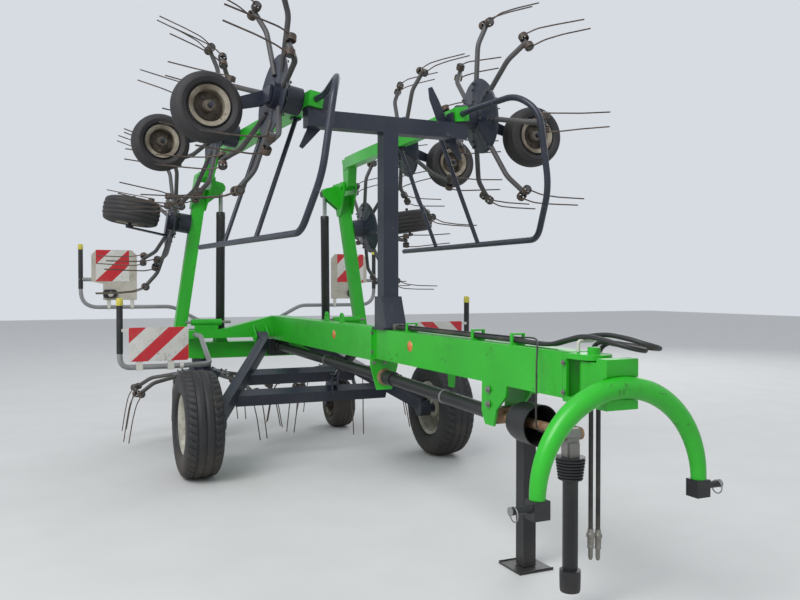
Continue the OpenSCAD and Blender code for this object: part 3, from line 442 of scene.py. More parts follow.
# Each look: the two tones of its colour, its roughness, and what differs from the usual
glassy = {"rough": 0.15, "coat": 1.0, "grime": 0.3, "chips": 0.0, "bump": 0.1, "grain": 300.0}
tyreRubber = {"grime": 0.55, "chips": 0.0, "bump": 0.3, "grain": 120.0}
looks = {
    "green": {"color": (0.012, 0.38, 0.008), "second": (0.018, 0.45, 0.013), "rough": 0.38, "coat": 0.12,
              "grime": 0.35, "chips": 0.5, "chipScale": 36.0, "under": (0.03, 0.06, 0.02), "bump": 0.05,
              "dust": (0.06, 0.16, 0.04)},
    "slate": {"color": (0.010, 0.014, 0.027), "second": (0.018, 0.023, 0.040), "rough": 0.42, "coat": 0.1,
              "grime": 0.30, "chips": 0.55, "chipScale": 48.0, "under": (0.16, 0.15, 0.14), "bump": 0.08,
              "dust": (0.07, 0.066, 0.062)},
    "bearing": {"color": (0.34, 0.22, 0.13), "second": (0.17, 0.085, 0.045), "rough": 0.7, "bump": 0.3,
                "toneScale": 20.0},
    "blackPaint": {"color": (0.009, 0.009, 0.011), "second": (0.016, 0.017, 0.020), "rough": 0.40,
                   "grime": 0.30, "chips": 0.35, "under": (0.09, 0.05, 0.035), "bump": 0.12,
                   "mudHeight": 0.2, "dust": (0.09, 0.08, 0.065)},
    "plastic": {"color": (0.009, 0.009, 0.010), "second": (0.017, 0.017, 0.019), "rough": 0.45,
                "grime": 0.25, "chips": 0.1, "under": (0.05, 0.05, 0.05), "bump": 0.2, "grain": 200.0,
                "mudHeight": 0.2, "dust": (0.10, 0.09, 0.075)},
    "steel": {"color": (0.30, 0.295, 0.28), "second": (0.20, 0.19, 0.175), "rough": 0.42, "metal": 0.7,
              "grime": 0.45, "chips": 0.3},
    "chrome": {"color": (0.55, 0.55, 0.54), "second": (0.48, 0.48, 0.47), "rough": 0.14, "metal": 1.0,
               "grime": 0.15, "chips": 0.1, "bump": 0.02},
    "zinc": {"color": (0.28, 0.285, 0.285), "second": (0.20, 0.20, 0.205), "rough": 0.45, "metal": 0.4,
             "grime": 0.3, "chips": 0.2, "bump": 0.1},
    "arm": {"color": (0.050, 0.050, 0.054), "second": (0.090, 0.086, 0.084), "rough": 0.5, "metal": 0.2,
            "grime": 0.35, "chips": 0.6, "under": (0.11, 0.055, 0.03), "bump": 0.2,
            "dust": (0.12, 0.10, 0.08)},
    "tine": {"color": (0.060, 0.050, 0.046), "second": (0.12, 0.085, 0.065), "rough": 0.5, "metal": 0.4,
             "grime": 0.3, "chips": 0.5, "under": (0.14, 0.06, 0.03), "bump": 0.2, "toneScale": 12.0},
    "rubber": {**tyreRubber, "color": (0.010, 0.010, 0.012), "second": (0.019, 0.019, 0.021),
               "rough": 0.60, "dust": (0.085, 0.072, 0.056), "mudHeight": 0.30},
    "smallRubber": {**tyreRubber, "color": (0.016, 0.015, 0.017), "second": (0.030, 0.028, 0.029),
                    "rough": 0.66, "dust": (0.085, 0.072, 0.058)},
    "cream": {"color": (0.50, 0.49, 0.42), "second": (0.38, 0.365, 0.30), "rough": 0.48,
              "grime": 0.75, "chips": 0.45, "under": (0.15, 0.08, 0.045), "bump": 0.08,
              "dust": (0.14, 0.12, 0.09), "toneScale": 6.0, "grimeScale": 5.0},
    "dirtyRim": {"color": (0.33, 0.295, 0.225), "second": (0.13, 0.10, 0.070), "rough": 0.6,
                 "grime": 0.95, "chips": 0.8, "under": (0.07, 0.038, 0.025), "dust": (0.060, 0.045, 0.032),
                 "bump": 0.25, "toneScale": 11.0, "grimeScale": 7.0},
    # The wheel disc: its base colour is darker than the rim ring's, a painted shade of the recessed wheel
    # centre; the grime patches over it are dirt
    "shadedRimDisc": {"color": (0.15, 0.125, 0.095), "second": (0.055, 0.044, 0.035), "rough": 0.65,
                "grime": 0.9, "chips": 0.8, "under": (0.10, 0.045, 0.025), "dust": (0.045, 0.036, 0.028),
                "bump": 0.3, "toneScale": 14.0, "grimeScale": 8.0},
    "plate": {"color": (0.46, 0.43, 0.37), "second": (0.38, 0.35, 0.29), "rough": 0.5, "grime": 0.7,
              "grimeScale": 6.0, "under": (0.16, 0.13, 0.09), "bump": 0.05},
    "lens": {**glassy, "color": (0.50, 0.47, 0.42), "second": (0.42, 0.38, 0.33)},
    "redLens": {**glassy, "color": (0.35, 0.012, 0.012), "second": (0.28, 0.010, 0.010)},
    "orange": {**glassy, "color": (0.62, 0.12, 0.01), "second": (0.7, 0.16, 0.012), "rough": 0.25,
               "grime": 0.2},
    "white": {"color": (0.58, 0.57, 0.52), "second": (0.5, 0.49, 0.44), "rough": 0.4, "grime": 0.5,
              "chips": 0.3, "bump": 0.05},
    "yellow": {"color": (0.55, 0.50, 0.05), "second": (0.5, 0.44, 0.05), "rough": 0.45, "grime": 0.3,
               "chips": 0.1, "bump": 0.1},
    "hose": {"color": (0.014, 0.014, 0.015), "second": (0.03, 0.03, 0.03), "rough": 0.5,
             "chips": 0.0, "bump": 0.2, "grain": 250.0},
}
board = {"color": (0.60, 0.59, 0.56), "second": (0.50, 0.485, 0.45), "rough": 0.4, "grime": 0.55,
         "grimeScale": 7.0, "chips": 0.85, "chipScale": 42.0, "under": (0.10, 0.09, 0.07), "bump": 0.03,
         "dust": (0.22, 0.19, 0.14)}
field = {"slope": -1.0, "mirrored": False, "period": 0.325, "share": 0.5}
bands = {"frontBoard": {"slope": 0.926, "mirrored": True, "period": 0.26, "start": 1.958, "share": 0.43},
         "leftField": {**field, "start": 0.1525}, "rightField": {**field, "start": 0.1}}
for name, stripes in bands.items():
    looks[name] = {**board, "stripes": redBands(stripes)}
paint = {name: surface(name, look) for name, look in looks.items()}

# Floor, sky and lamps, for the picture alone
studio = {"floor": {"color": (0.55, 0.55, 0.54), "second": (0.57, 0.57, 0.56), "rough": 0.8,
                    "grime": 0.0, "chips": 0.0, "bump": 0.0},
          "floorSize": 60, "sky": (0.80, 0.84, 0.90, 1), "skyStrength": 0.85, "aim": (0, 0, 1),
          "lampSize": 6.0, "lamps": {"key": ((6.0, -7.0, 9.0), 900), "fill": ((-6.0, 8.0, 7.0), 350)}}
bpy.ops.mesh.primitive_plane_add(size=studio["floorSize"], location=(0, 0, 0))
floorObject = bpy.context.object
floorObject.name = "floor"
floorObject.data.materials.append(surface("floor", studio["floor"]))
world = bpy.data.worlds.new("world")
bpy.context.scene.world = world
world.use_nodes = True
background = world.node_tree.nodes["Background"].inputs
background["Color"].default_value = studio["sky"]
background["Strength"].default_value = studio["skyStrength"]
for label, (place, power) in studio["lamps"].items():
    lamp = bpy.data.lights.new(label, "AREA")
    lamp.energy = power
    lamp.size = studio["lampSize"]
    lampObject = bpy.data.objects.new(label, lamp)
    bpy.context.scene.collection.objects.link(lampObject)
    lampObject.location = place
    lampAim = Vector(studio["aim"]) - Vector(place)
    lampObject.rotation_euler = lampAim.to_track_quat("-Z", "Y").to_euler()
print("stage: materials ready", flush=True)


# Hoses along the drawbar, over the hook in two loops and down to their couplings, and a thin cord to the
# fork of the joint; routes in millimetres
hose = {"radius": 0.0098, "step": 0.012, "far": "connector", "lay": "hanging"}
cords = {
    "hose_1": {**hose,
               "route": [[1336, -12, 1104], [2650, -12, 1104], [2900, -12, 1104], [3030, -12, 1130],
                         [3135, -12, 1150], [3250, -14, 1146], [3340, 0, 1130], [3380, 40, 1116],
                         [3380, 85, 1108], [3340, 118, 1106], [3260, 126, 1110], [3170, 120, 1118],
                         [3090, 105, 1120], [3050, 100, 1080], [3045, 100, 1000], [3045, 100, 340]]},
    "hose_2": {**hose,
               "route": [[1336, 12, 1104], [2650, 12, 1104], [2900, 12, 1104], [3030, 12, 1130],
                         [3135, 12, 1150], [3250, 16, 1162], [3350, 26, 1154], [3415, 60, 1136],
                         [3422, 110, 1122], [3385, 152, 1114], [3300, 166, 1112], [3190, 162, 1116],
                         [3090, 152, 1115], [3045, 144, 1080], [3040, 142, 1000], [3040, 142, 330]]},
    "thin_cord": {"radius": 0.0039, "step": 0.010, "far": "object", "lay": "loose",
                  "route": [[1336, 0, 1118], [2650, 0, 1118], [2760, -10, 1124], [2860, -45, 1120],
                            [2930, -90, 1090], [2955, -110, 1030], [2960, -114, 900], [2955, -112, 810],
                            [2945, -100, 760], [2940, -76, 742], [2940, -52, 742]]},
}
hoseEnds = {"block": ([1.306, -0.032, 1.0863], [1.336, 0.032, 1.124]), "couplingBelow": 0.130,
            "coupling": [[0.0, 0.0], [0.0068, 0.0], [0.0072, 0.004], [0.0098, 0.010], [0.0098, 0.044],
                         [0.0112, 0.046], [0.0137, 0.049], [0.0137, 0.060], [0.0125, 0.062],
                         [0.0125, 0.066], [0.0137, 0.068], [0.0137, 0.091], [0.0175, 0.095],
                         [0.0178, 0.108], [0.0130, 0.114], [0.0118, 0.1297], [0.0, 0.1297]]}
hoseBlock = addPiece("hose_block", [block(*hoseEnds["block"])], "steel", nodes=["hose_fittings"],
                     bevel=0.002)
for label, item in cords.items():
    route = np.array(item["route"]) / 1000
    path = smooth(route, item["step"])
    piece = addPiece(label + "_shape", [tubeAlong(path, item["radius"], 16)], "hose", nodes=[label],
                     angle=60)
    if item["far"] == "connector":
        end = shift(*(path[-1] - [0, 0, hoseEnds["couplingBelow"]]))
        addPiece(label + "_coupling", [turned(hoseEnds["coupling"], 32)], "steel", place=end,
                               angle=35)
print("stage: cords ready", flush=True)


# The row of rotors as it lies in work, and the two turns by which each wing is folded at rest
row = {"x": -1.450, "z": 0.790, "rotorYs": (0.665, 1.995, 3.395, 4.725), "hingeY": 0.880, "lift": 98.5,
       "knee": (0.190, 1.515), "kneeTilt": -3.2, "kneeTurn": -90}
rowX, rowZ, rotorYs = row["x"], row["z"], row["rotorYs"]
kneePin = (rowX + row["knee"][0], row["hingeY"] + row["knee"][1], rowZ)
liftMatrix = turn(alongX, row["lift"], (0, row["hingeY"], rowZ))
kneeMatrix = liftMatrix @ turn(alongY, row["kneeTilt"], kneePin) @ turn(alongZ, row["kneeTurn"], kneePin)
sectionMatrices = (np.eye(4), liftMatrix, kneeMatrix, kneeMatrix)

# Nodes that keep the shape of their solids: node, look, body, width of the bevel
plateTable = [
    ("main_beam_front", "green", "frame", 0.006),
    ("main_beam_rear", "green", "frame", 0.006),
    ("crossmember", "green", "frame", 0.004),
    ("rotor_beam", "green", "frame", 0.005),
    ("headstock", "green", "frame", 0.003),
    ("rest_post", "slate", "frame", 0.006),
    ("centre_wheel_legs", "slate", "frame", 0.003),
    ("centre_gearbox", "blackPaint", "frame", 0.008),
    ("pto_bearings", "bearing", "frame", 0.002),
    ("hitch_swivel", "green", "hitch", 0.004),
    ("link_pins", "blackPaint", "hitch", 0.006),
    ("transport_chassis", "slate", "chassis", 0.006),
]
for name, _ in sides:
    plateTable += [
        (name + "_inner_arm", "green", name + "_inner_wing", 0.005),
        (name + "_inner_leg", "slate", name + "_inner_wing", 0.003),
        (name + "_outer_arm", "green", name + "_outer_wing", 0.005),
        (name + "_outer_legs", "slate", name + "_outer_wing", 0.003),
    ]
for plateRow in plateTable:
    refined(*plateRow)
print("stage: plates ready", flush=True)


# A tyre turned about its axle: side walls, shoulders and a crown with grooves and slanted sipes; places
# across it are shares of half its width
def tyre(wheel):
    half, width, bead = wheel["d"] / 2, wheel["w"] / 2, wheel["bead"]
    wall = np.array([[bead, -0.70], [bead + 0.018, -0.70], [bead + 0.026, -0.86], [bead + 0.034, -0.93],
                     [(bead + half) / 2 + 0.006, -1.0], [half - 0.044, -0.965], [half - 0.026, -0.90],
                     [half - 0.015, -0.82]])
    crownEdge, crownFall, crownPower = 0.78, 0.013, 2.6
    t = np.linspace(-crownEdge, crownEdge, wheel["crown"])
    crown = np.c_[half - crownFall * np.abs(t / crownEdge) ** crownPower, t]
    profile = np.concatenate([wall, crown, wall[::-1] * [1, -1]])
    profile[:, 1] *= width

    # Depth of the tread: straight grooves, and slanted cuts in the ribs between them
    def tread(angle, across):
        s = across / width
        inside = np.clip((0.80 - np.abs(s)) / 0.04, 0, 1)
        groove = np.zeros_like(s)
        for centre in wheel["grooves"]:
            groove = np.maximum(groove, np.clip(1.6 - np.abs(s - centre) / wheel["grooveWidth"], 0, 1))
        slant = np.abs((angle * wheel["blocks"] / (2 * np.pi) + 1.3 * np.abs(s)) % 1 - 0.5)
        cut = np.clip((slant - 0.36) / 0.06, 0, 1) * np.clip((np.abs(s) - wheel["cutFrom"]) / 0.05, 0, 1)
        shoulder = np.clip((0.97 - np.abs(s)) / 0.04, 0, 1) * (np.abs(s) > 0.5)
        return -wheel["depth"] * (np.maximum(groove * inside, cut * shoulder))

    # The side wall by the bead stays round
    points, faces = turned(profile, wheel["steps"], True, tread)
    points = points.reshape(wheel["steps"], -1, 3)
    smoothR = profile[None, :, 0]
    treadR = np.linalg.norm(points[:, :, :2], axis=2)
    scale = np.where(smoothR < bead + 0.06, smoothR / np.maximum(treadR, 1e-6), 1.0)
    points[:, :, :2] *= scale[:, :, None]
    return points.reshape(-1, 3), faces


# The road wheels: sizes of the tyre, profiles of the rim as radius and place along the axle, and its nuts
onAxle = turn(alongX, -90)
roadWheel = {"d": 0.760, "w": 0.262, "bead": 0.1963, "crown": 29, "grooves": (-0.42, 0.0, 0.42),
             "grooveWidth": 0.045, "blocks": 44, "cutFrom": 0.46, "depth": 0.009, "steps": 264, "y": 0.965}
roadRim = {"dish": [[0.0, 0.058], [0.034, 0.058], [0.040, 0.050], [0.062, 0.050], [0.066, 0.044],
                    [0.070, 0.008], [0.095, 0.012], [0.125, 0.024], [0.150, 0.034], [0.170, 0.036],
                    [0.178, 0.030], [0.181, -0.010], [0.184, -0.040]],
           "well": [[0.184, 0.082], [0.190, 0.090], [0.212, 0.1015], [0.2125, 0.096], [0.196, 0.088],
                    [0.195, 0.070], [0.178, 0.060], [0.176, -0.030], [0.194, -0.070], [0.195, -0.086],
                    [0.2125, -0.096], [0.212, -0.1015], [0.188, -0.090], [0.187, -0.070], [0.170, -0.032],
                    [0.171, 0.056]],
           "hub": [[0.031, 0.02], [0.036, 0.02], [0.036, -0.058], [0.074, -0.058], [0.074, 0.002]],
           "sheet": 0.006, "nuts": (6, 0.100, 0.012, 0.011)}
dishBack = [[r, h - roadRim["sheet"]] for r, h in roadRim["dish"][::-1]]
rimParts = [turned(roadRim["dish"] + dishBack, 96), turned(roadRim["well"], 96, True),
            turned(roadRim["hub"], 48), *boltCircle(*roadRim["nuts"])]
for name, flip in sides:
    place = flip @ shift(0, roadWheel["y"], roadWheel["d"] / 2) @ onAxle
    addPiece(name + "_road_tyre_shape", [tyre(roadWheel)], "rubber", name + "_road_wheel",
             [name + "_road_tyre"], place, angle=50)
    addPiece(name + "_road_rim_shape", rimParts, "cream", name + "_road_wheel", [name + "_road_rim"], place)

# One wheel under each rotor: diameter, width and how far ahead of the rotor's spindle it stands
smallTable = [(0.457, 0.210, -0.100), (0.457, 0.210, 0.200), (0.406, 0.165, 0.170), (0.406, 0.165, 0.170)]
smallTyre = {"bead": 0.106, "crown": 25, "grooves": (-0.52, -0.18, 0.18, 0.52), "grooveWidth": 0.05,
             "blocks": 30, "cutFrom": 0.9, "depth": 0.006, "steps": 120}
smallNuts = (5, 0.062, 0.004, 0.009)
for i, (d, w, lead) in enumerate(smallTable):
    smallWheel = {**smallTyre, "d": d, "w": w - 0.002}
    h = w / 2
    lip = [[0.090, h - 0.020], [0.100, h - 0.012], [0.1165, h - 0.006], [0.118, h - 0.012],
           [0.106, h - 0.022]]
    rimRing = lip + [[0.104, 0.0]] + [[r, -z] for r, z in lip[::-1]]
    shadedRimDisc = [[0.014, h - 0.010], [0.030, h - 0.010], [0.034, h - 0.030], [0.036, 0.012], [0.060, 0.004],
               [0.084, -0.004], [0.0899, 0.010], [0.0899, -0.020], [0.060, -0.010], [0.036, -0.006],
               [0.034, 0.030 - h], [0.030, 0.010 - h], [0.014, 0.010 - h]]
    for name, flip in sides:
        place = flip @ sectionMatrices[i] @ shift(rowX + lead, rotorYs[i], d / 2) @ onAxle
        label = f"{name}_wheel_{i + 1}"
        addPiece(label + "_tyre", [tyre(smallWheel)], "smallRubber", label, [label], place, angle=50)
        addPiece(label + "_rim", [turned(rimRing, 64, True)], "dirtyRim", label, place=place)
        # The disc takes the darker look: painted shade of the recessed wheel centre, with dirt patches
        addPiece(label + "_disc", [turned(shadedRimDisc, 64, True), *boltCircle(*smallNuts)], "shadedRimDisc", label,
                 place=place)
print("stage: wheels ready", flush=True)


# Arms on a dish, each with a pair of tines; by the phases, in degrees, neighbours' tines pass each other
rotor = {"arms": 7, "phases": {"left": (-4, 4, -15, 15), "right": (176, 184, 165, 195)},
         "armR": 0.0168, "armBend": 0.035,
         "armRoute": [[0, 0.150, 0.590], [0, 0.465, 0.536], [0, 0.603, 0.449]],
         "armBolts": (0.175, 0.215), "armTopZ": 0.614, "armFall": 0.17, "armBoltSize": 0.008,
         "crossBolt": (0, 0.0075, -0.063, 0.063), "endDisc": (0, 0.019, -0.002, 0.002), "endDiscX": 0.0615,
         "hubBolts": (8, 0.098, 0.627, 0.009),
         "hub": [[0.0362, 0.561], [0.077, 0.561], [0.078, 0.596], [0.150, 0.588], [0.205, 0.581],
                 [0.236, 0.574], [0.243, 0.5725], [0.245, 0.576], [0.240, 0.583], [0.222, 0.589],
                 [0.180, 0.600], [0.130, 0.616], [0.112, 0.622], [0.090, 0.632], [0.078, 0.639],
                 [0.0362, 0.639]]}
tine = {"wire": 0.0048, "at": (0.600, 0.455), "coilR": 0.0255, "turns": 5, "stepsPerTurn": 22, "start": -0.9,
        "coilFrom": 0.058, "coilLength": 0.034, "legBend": 0.03,
        "leg": [[0.056, 0.616, 0.435], [0.054, 0.653, 0.372], [0.047, 0.683, 0.250], [0.044, 0.716, 0.063]]}
ridge = {"from": 0.12, "to": 0.246, "fade": 0.03, "height": 0.010, "above": 0.576}


# Two coils side by side on the arm's cross bolt, each ending in a short leg, a kink and a long straight leg
def tinePair():
    parts = []
    coilY, coilZ = tine["at"]
    for s in bothSigns:
        a = np.linspace(0, 2 * np.pi * tine["turns"], tine["stepsPerTurn"] * tine["turns"])
        coil = np.c_[s * (tine["coilFrom"] - tine["coilLength"] * a / a[-1]),
                     coilY + tine["coilR"] * np.cos(a + tine["start"]),
                     coilZ + tine["coilR"] * np.sin(a + tine["start"])]
        coil = coil[::-1] if s < 0 else coil
        leg = rounded([[s * x, y, z] for x, y, z in tine["leg"]], tine["legBend"], 4)
        parts += [tubeAlong(coil, tine["wire"], 6), tubeAlong(leg, tine["wire"], 6)]
    return parts


# A bent tube with the tines' cross bolt, its end discs and the two bolts that hold it on the dish
def rotorArm():
    across = turn(alongY, 90)
    startY = rotor["armRoute"][0][1]
    parts = [tubeAlong(rounded(rotor["armRoute"], rotor["armBend"], 5), rotor["armR"], 14),
             moved(turned(barProfile(*rotor["crossBolt"]), 12), shift(0, *tine["at"]) @ across)]
    for s in bothSigns:
        discPlace = shift(s * rotor["endDiscX"], *tine["at"]) @ across
        parts.append(moved(turned(barProfile(*rotor["endDisc"]), 20), discPlace))
    for y in rotor["armBolts"]:
        z = rotor["armTopZ"] - (y - startY) * rotor["armFall"]
        parts.append(moved(bolt(rotor["armBoltSize"]), basis((0, y, z), (0, rotor["armFall"], 1))))
    return parts


# The dish stands up in a ridge over each arm, so its radius stays and its height swells with the angle
def dish():
    points, faces = turned(rotor["hub"], 140, True)
    r = np.hypot(points[:, 0], points[:, 1])
    angle = np.arctan2(points[:, 0], points[:, 1])
    near = (np.cos(angle * rotor["arms"]) * 0.5 + 0.5) ** 6
    outward = np.clip((r - ridge["from"]) / ridge["fade"], 0, 1)
    inward = np.clip((ridge["to"] - r) / ridge["fade"], 0, 1)
    points[:, 2] += ridge["height"] * near * outward * inward * (points[:, 2] > ridge["above"])
    return points, faces


armSet, tineSet = [], []
for k in range(rotor["arms"]):
    spin = turn(alongZ, -k * 360 / rotor["arms"])
    armSet += [moved(p, spin) for p in rotorArm()]
    tineSet += [moved(p, spin) for p in tinePair()]
armSet += boltCircle(*rotor["hubBolts"])
for name, flip in sides:
    for i, phase in enumerate(rotor["phases"][name]):
        place = flip @ sectionMatrices[i] @ shift(rowX, rotorYs[i], 0) @ turn(alongZ, -phase)
        label = f"{name}_rotor_{i + 1}"
        addPiece(label + "_dish", [dish()], "slate", label, [label], place, angle=40)
        addPiece(label + "_arms", armSet, "arm", label, place=place, angle=40)
        addPiece(label + "_tines", tineSet, "tine", label, place=place, angle=60)
print("stage: rotors ready", flush=True)


# Half ring of tube whose thickness shrinks from the crown to the legs
arch = {"x": 3.360, "z": 0.590, "radius": 0.380, "legTube": 0.0298, "crownMore": 0.013, "rings": 73}
archAngles = np.radians(np.linspace(0, 180, arch["rings"]))
archPath = np.c_[np.full(arch["rings"], arch["x"]), arch["radius"] * np.cos(archAngles),
                 arch["z"] + arch["radius"] * np.sin(archAngles)]
archRadii = arch["legTube"] + arch["crownMore"] * np.sin(archAngles)
addPiece("hitch_arch_shape", [tubeAlong(archPath, archRadii, 32)], "green", "hitch", ["hitch_arch"],
         angle=60)

# A guard runs outside the outer rotors, round the last one and back to the beam's end; two struts carry it.
# Its start and the first strut are placed from the third rotor, the rest from the fourth
guard = {"out": 0.850, "drop": 0.150, "tube": 0.0188, "start": -0.2, "corner": 0.64, "turn": 0.83,
         "turnFrom": 0.56, "turnTo": 0.12, "back": 0.13, "rise": 0.06, "beamEnd": 0.165, "gap": 0.0003,
         "bends": (0.08, 0.10, 0.09, 0.09, 0.09), "strut": 0.0148, "struts": (0.42, -0.2),
         "strutFrom": (0.051, 0, 0.015), "strutLean": 0.06,
         "strutFoot": ((0.0453, -0.03, -0.015), (0.057, 0.03, 0.04))}
thirdY, fourthY = rotorYs[2:]
guardX, guardZ = rowX + guard["out"], rowZ - guard["drop"]
turnY, beamEndY = fourthY + guard["turn"], fourthY + guard["beamEnd"]
guardRoute = [[guardX, thirdY + guard["start"], guardZ], [guardX, fourthY + guard["corner"], guardZ],
              [rowX + guard["turnFrom"], turnY, guardZ], [rowX + guard["turnTo"], turnY, guardZ],
              [rowX, turnY - guard["back"], guardZ + guard["rise"]],
              [rowX, beamEndY + guard["back"], rowZ], [rowX, beamEndY + guard["gap"], rowZ]]
guardParts = [tubeAlong(rounded(guardRoute, guard["bends"], 8), guard["tube"], 20)]
for rotorY, offset in zip((thirdY, fourthY), guard["struts"]):
    onBeam = np.array([rowX, rotorY + offset, rowZ])
    strutEnd = [guardX, onBeam[1] + guard["strutLean"], guardZ]
    guardParts += [rod(onBeam + guard["strutFrom"], strutEnd, guard["strut"], 16),
                   block(*[onBeam + corner for corner in guard["strutFoot"]])]
for name, flip in sides:
    addPiece(name + "_guard_shape", guardParts, "slate", name + "_outer_wing", [name + "_guard"],
             flip @ kneeMatrix, angle=40)


# Bent tubes that carry the boards, with black sleeves and yellow caps on their uprights
carriers = {
    "rear": {"route": [[rowX - 0.0753, 0.42, 0.825], [rowX - 0.23, 0.42, 0.825], [-2.885, 0.42, 0.994],
                       [-2.885, 0.70, 1.144], [-2.885, 1.59, 1.144], [-2.885, 1.59, 1.74]],
             "bends": (0.07, 0.07, 0.07, 0.17), "sleeve": (1.33, 1.728), "cap": (1.724, 1.779)},
    "front": {"route": [[rowX + 0.2153, 0.76, 0.94], [-0.968, 0.76, 0.94], [-0.498, 0.775, 0.757],
                        [-0.418, 0.99, 0.757], [-0.418, 1.446, 0.757], [-0.418, 1.446, 1.225]],
              "bends": (0.06, 0.06, 0.06, 0.08), "sleeve": (0.86, 1.216), "cap": (1.212, 1.267)},
}
carrierTubes = {"tube": 0.0198, "sleeve": 0.0228, "crossbarZ": 1.424, "crossbarYs": (1.608, 1.33),
                "crossbar": 0.0196}
# Clamps of the boards: x from and to, z from and to, half the width and the places in y
clampTable = [(-0.4435, -0.4020, 0.7315, 0.7825, 0.024, (1.085, 1.31)),
              (-0.4018, -0.3979, 0.7320, 0.845, 0.024, (1.085, 1.31)),
              (-0.4030, -0.3979, 1.020, 1.042, 0.0455, (1.4005,)),
              (-2.8710, -2.8652, 1.150, 1.250, 0.02, (1.10, 1.325))]
collars = {"at": ((-0.418, 1.005, 0.757), (-2.885, 1.10, 1.144), (-2.885, 1.325, 1.144)),
           "ring": [[0.0199, -0.014], [0.0242, -0.014], [0.0248, 0.0], [0.0242, 0.014], [0.0199, 0.014]]}
tubeParts, sleeveParts, capParts, clampParts = [], [], [], []
for carrier in carriers.values():
    x, y, _ = carrier["route"][-1]
    low, high = carrier["cap"]
    cap = [[0.0, high], [0.018, high], [0.0240, high - 0.006], [0.0248, low + 0.004], [0.0240, low],
           [0.0, low]]
    tubeParts.append(tubeAlong(rounded(carrier["route"], carrier["bends"]), carrierTubes["tube"], 18))
    sleeveParts.append(rod(*[[x, y, z] for z in carrier["sleeve"]], carrierTubes["sleeve"], 24))
    capParts.append(moved(turned(cap, 28), shift(x, y, 0)))
rearX = carriers["rear"]["route"][-1][0]
crossbarEnds = [[rearX, y, carrierTubes["crossbarZ"]] for y in carrierTubes["crossbarYs"]]
tubeParts.append(rod(*crossbarEnds, carrierTubes["crossbar"], 18))
for x0, x1, z0, z1, half, ys in clampTable:
    clampParts += [block([x0, y - half, z0], [x1, y + half, z1]) for y in ys]
clampParts += [moved(turned(collars["ring"], 24, True), basis(at, alongY)) for at in collars["at"]]
addPiece("carriers", onBothSides(tubeParts), "zinc", nodes=["board_carriers"], angle=50)
addPiece("carrier_sleeves", onBothSides(sleeveParts), "plastic", angle=50)
addPiece("carrier_caps", onBothSides(capParts), "yellow", angle=50)
addPiece("carrier_clamps", onBothSides(clampParts), "white", angle=50)


# A flat outline in y and z, drawn out from x0 to x1
def standing(outline, x0, x1):
    swap = np.array([[0, 0, 1, 0], [1, 0, 0, 0], [0, 1, 0, 0], [0, 0, 0, 1]], float)
    return moved(slab(outline, x0, x1), swap)


# The corners of a rectangle in y and z
def rectangle(y0, y1, z0, z1):
    return [[y0, z0], [y1, z0], [y1, z1], [y0, z1]]


# Each corner of an outline is cut off over a length
def cutCorners(outline, length):
    points = np.asarray(outline, float)
    towards = np.roll(points, 1, 0) - points
    away = np.roll(points, -1, 0) - points
    a = points + length * towards / np.linalg.norm(towards, axis=1)[:, None]
    b = points + length * away / np.linalg.norm(away, axis=1)[:, None]
    return np.stack([a, b], 1).reshape(-1, 2)


# Boards: the front ones striped to their edges, the rear ones pale plates with a striped field and a lamp;
# a rectangle is y from and to, z from and to
boards = {"front": (0.957, 1.385, 0.800, 1.050), "frontX": (-0.3977, -0.3940), "frontCorner": 0.008,
          "rear": [[1.054, 1.216], [1.381, 1.216], [1.381, 1.381], [1.491, 1.401], [1.491, 1.674],
                   [1.441, 1.724], [1.104, 1.724], [1.054, 1.674]],
          "rearX": (-2.8647, -2.8610), "rearCorner": 0.006, "film": 0.0006,
          "field": (1.130, 1.449, 1.405, 1.7225), "fieldX": (-2.8609, -2.8654)}
# Boxes round the lamp's centre: reach in, out, down and up, corners, x from and to
lamps = {"y": 1.316, "z": 1.279, "front": (0.066, 0.066, 0.042, 0.044, 0.018, -2.8608, -2.8290),
         "tail": (0.15, 0.06, 0.032, 0.062, 0.010, -2.8980, -2.8650),
         "tailGlass": (0.14, 0.05, 0.022, 0.052, 0.008, -2.9060, -2.8978),
         "glass": [[0.0, 0.0], [0.026, 0.0], [0.026, 0.004], [0.020, 0.009], [0.0, 0.011]],
         "glassAt": (-2.8292, -0.006, -0.004)}


# A box that reaches out from the lamp's centre, its outline's corners cut off
def lampBox(label):
    reachIn, reachOut, down, up, corner, x0, x1 = lamps[label]
    y, z = lamps["y"], lamps["z"]
    return standing(cutCorners(rectangle(y - reachIn, y + reachOut, z - down, z + up), corner), x0, x1)


glassAt = np.array([0, lamps["y"], lamps["z"]]) + lamps["glassAt"]
lampGlass = moved(turned(lamps["glass"], 28), basis(glassAt, alongX))
frontPart = standing(cutCorners(rectangle(*boards["front"]), boards["frontCorner"]), *boards["frontX"])
rearPart = standing(cutCorners(boards["rear"], boards["rearCorner"]), *boards["rearX"])
addPiece("front_boards", onBothSides([frontPart]), "frontBoard", nodes=["warning_boards"], angle=30)
addPiece("rear_plates", onBothSides([rearPart]), "plate", angle=30)
for name, flip in sides:
    fields = [standing(rectangle(*boards["field"]), x, x + boards["film"]) for x in boards["fieldX"]]
    addPiece(name + "_field", fields, name + "Field", place=flip)
    addPiece(name + "_lamp", [lampBox("front"), lampBox("tail")], "plastic", place=flip, bevel=0.005)
    addPiece(name + "_lens", [lampGlass], "lens", place=flip)
    addPiece(name + "_tail_lens", [lampBox("tailGlass")], "redLens", place=flip, bevel=0.003)
print("stage: boards ready", flush=True)


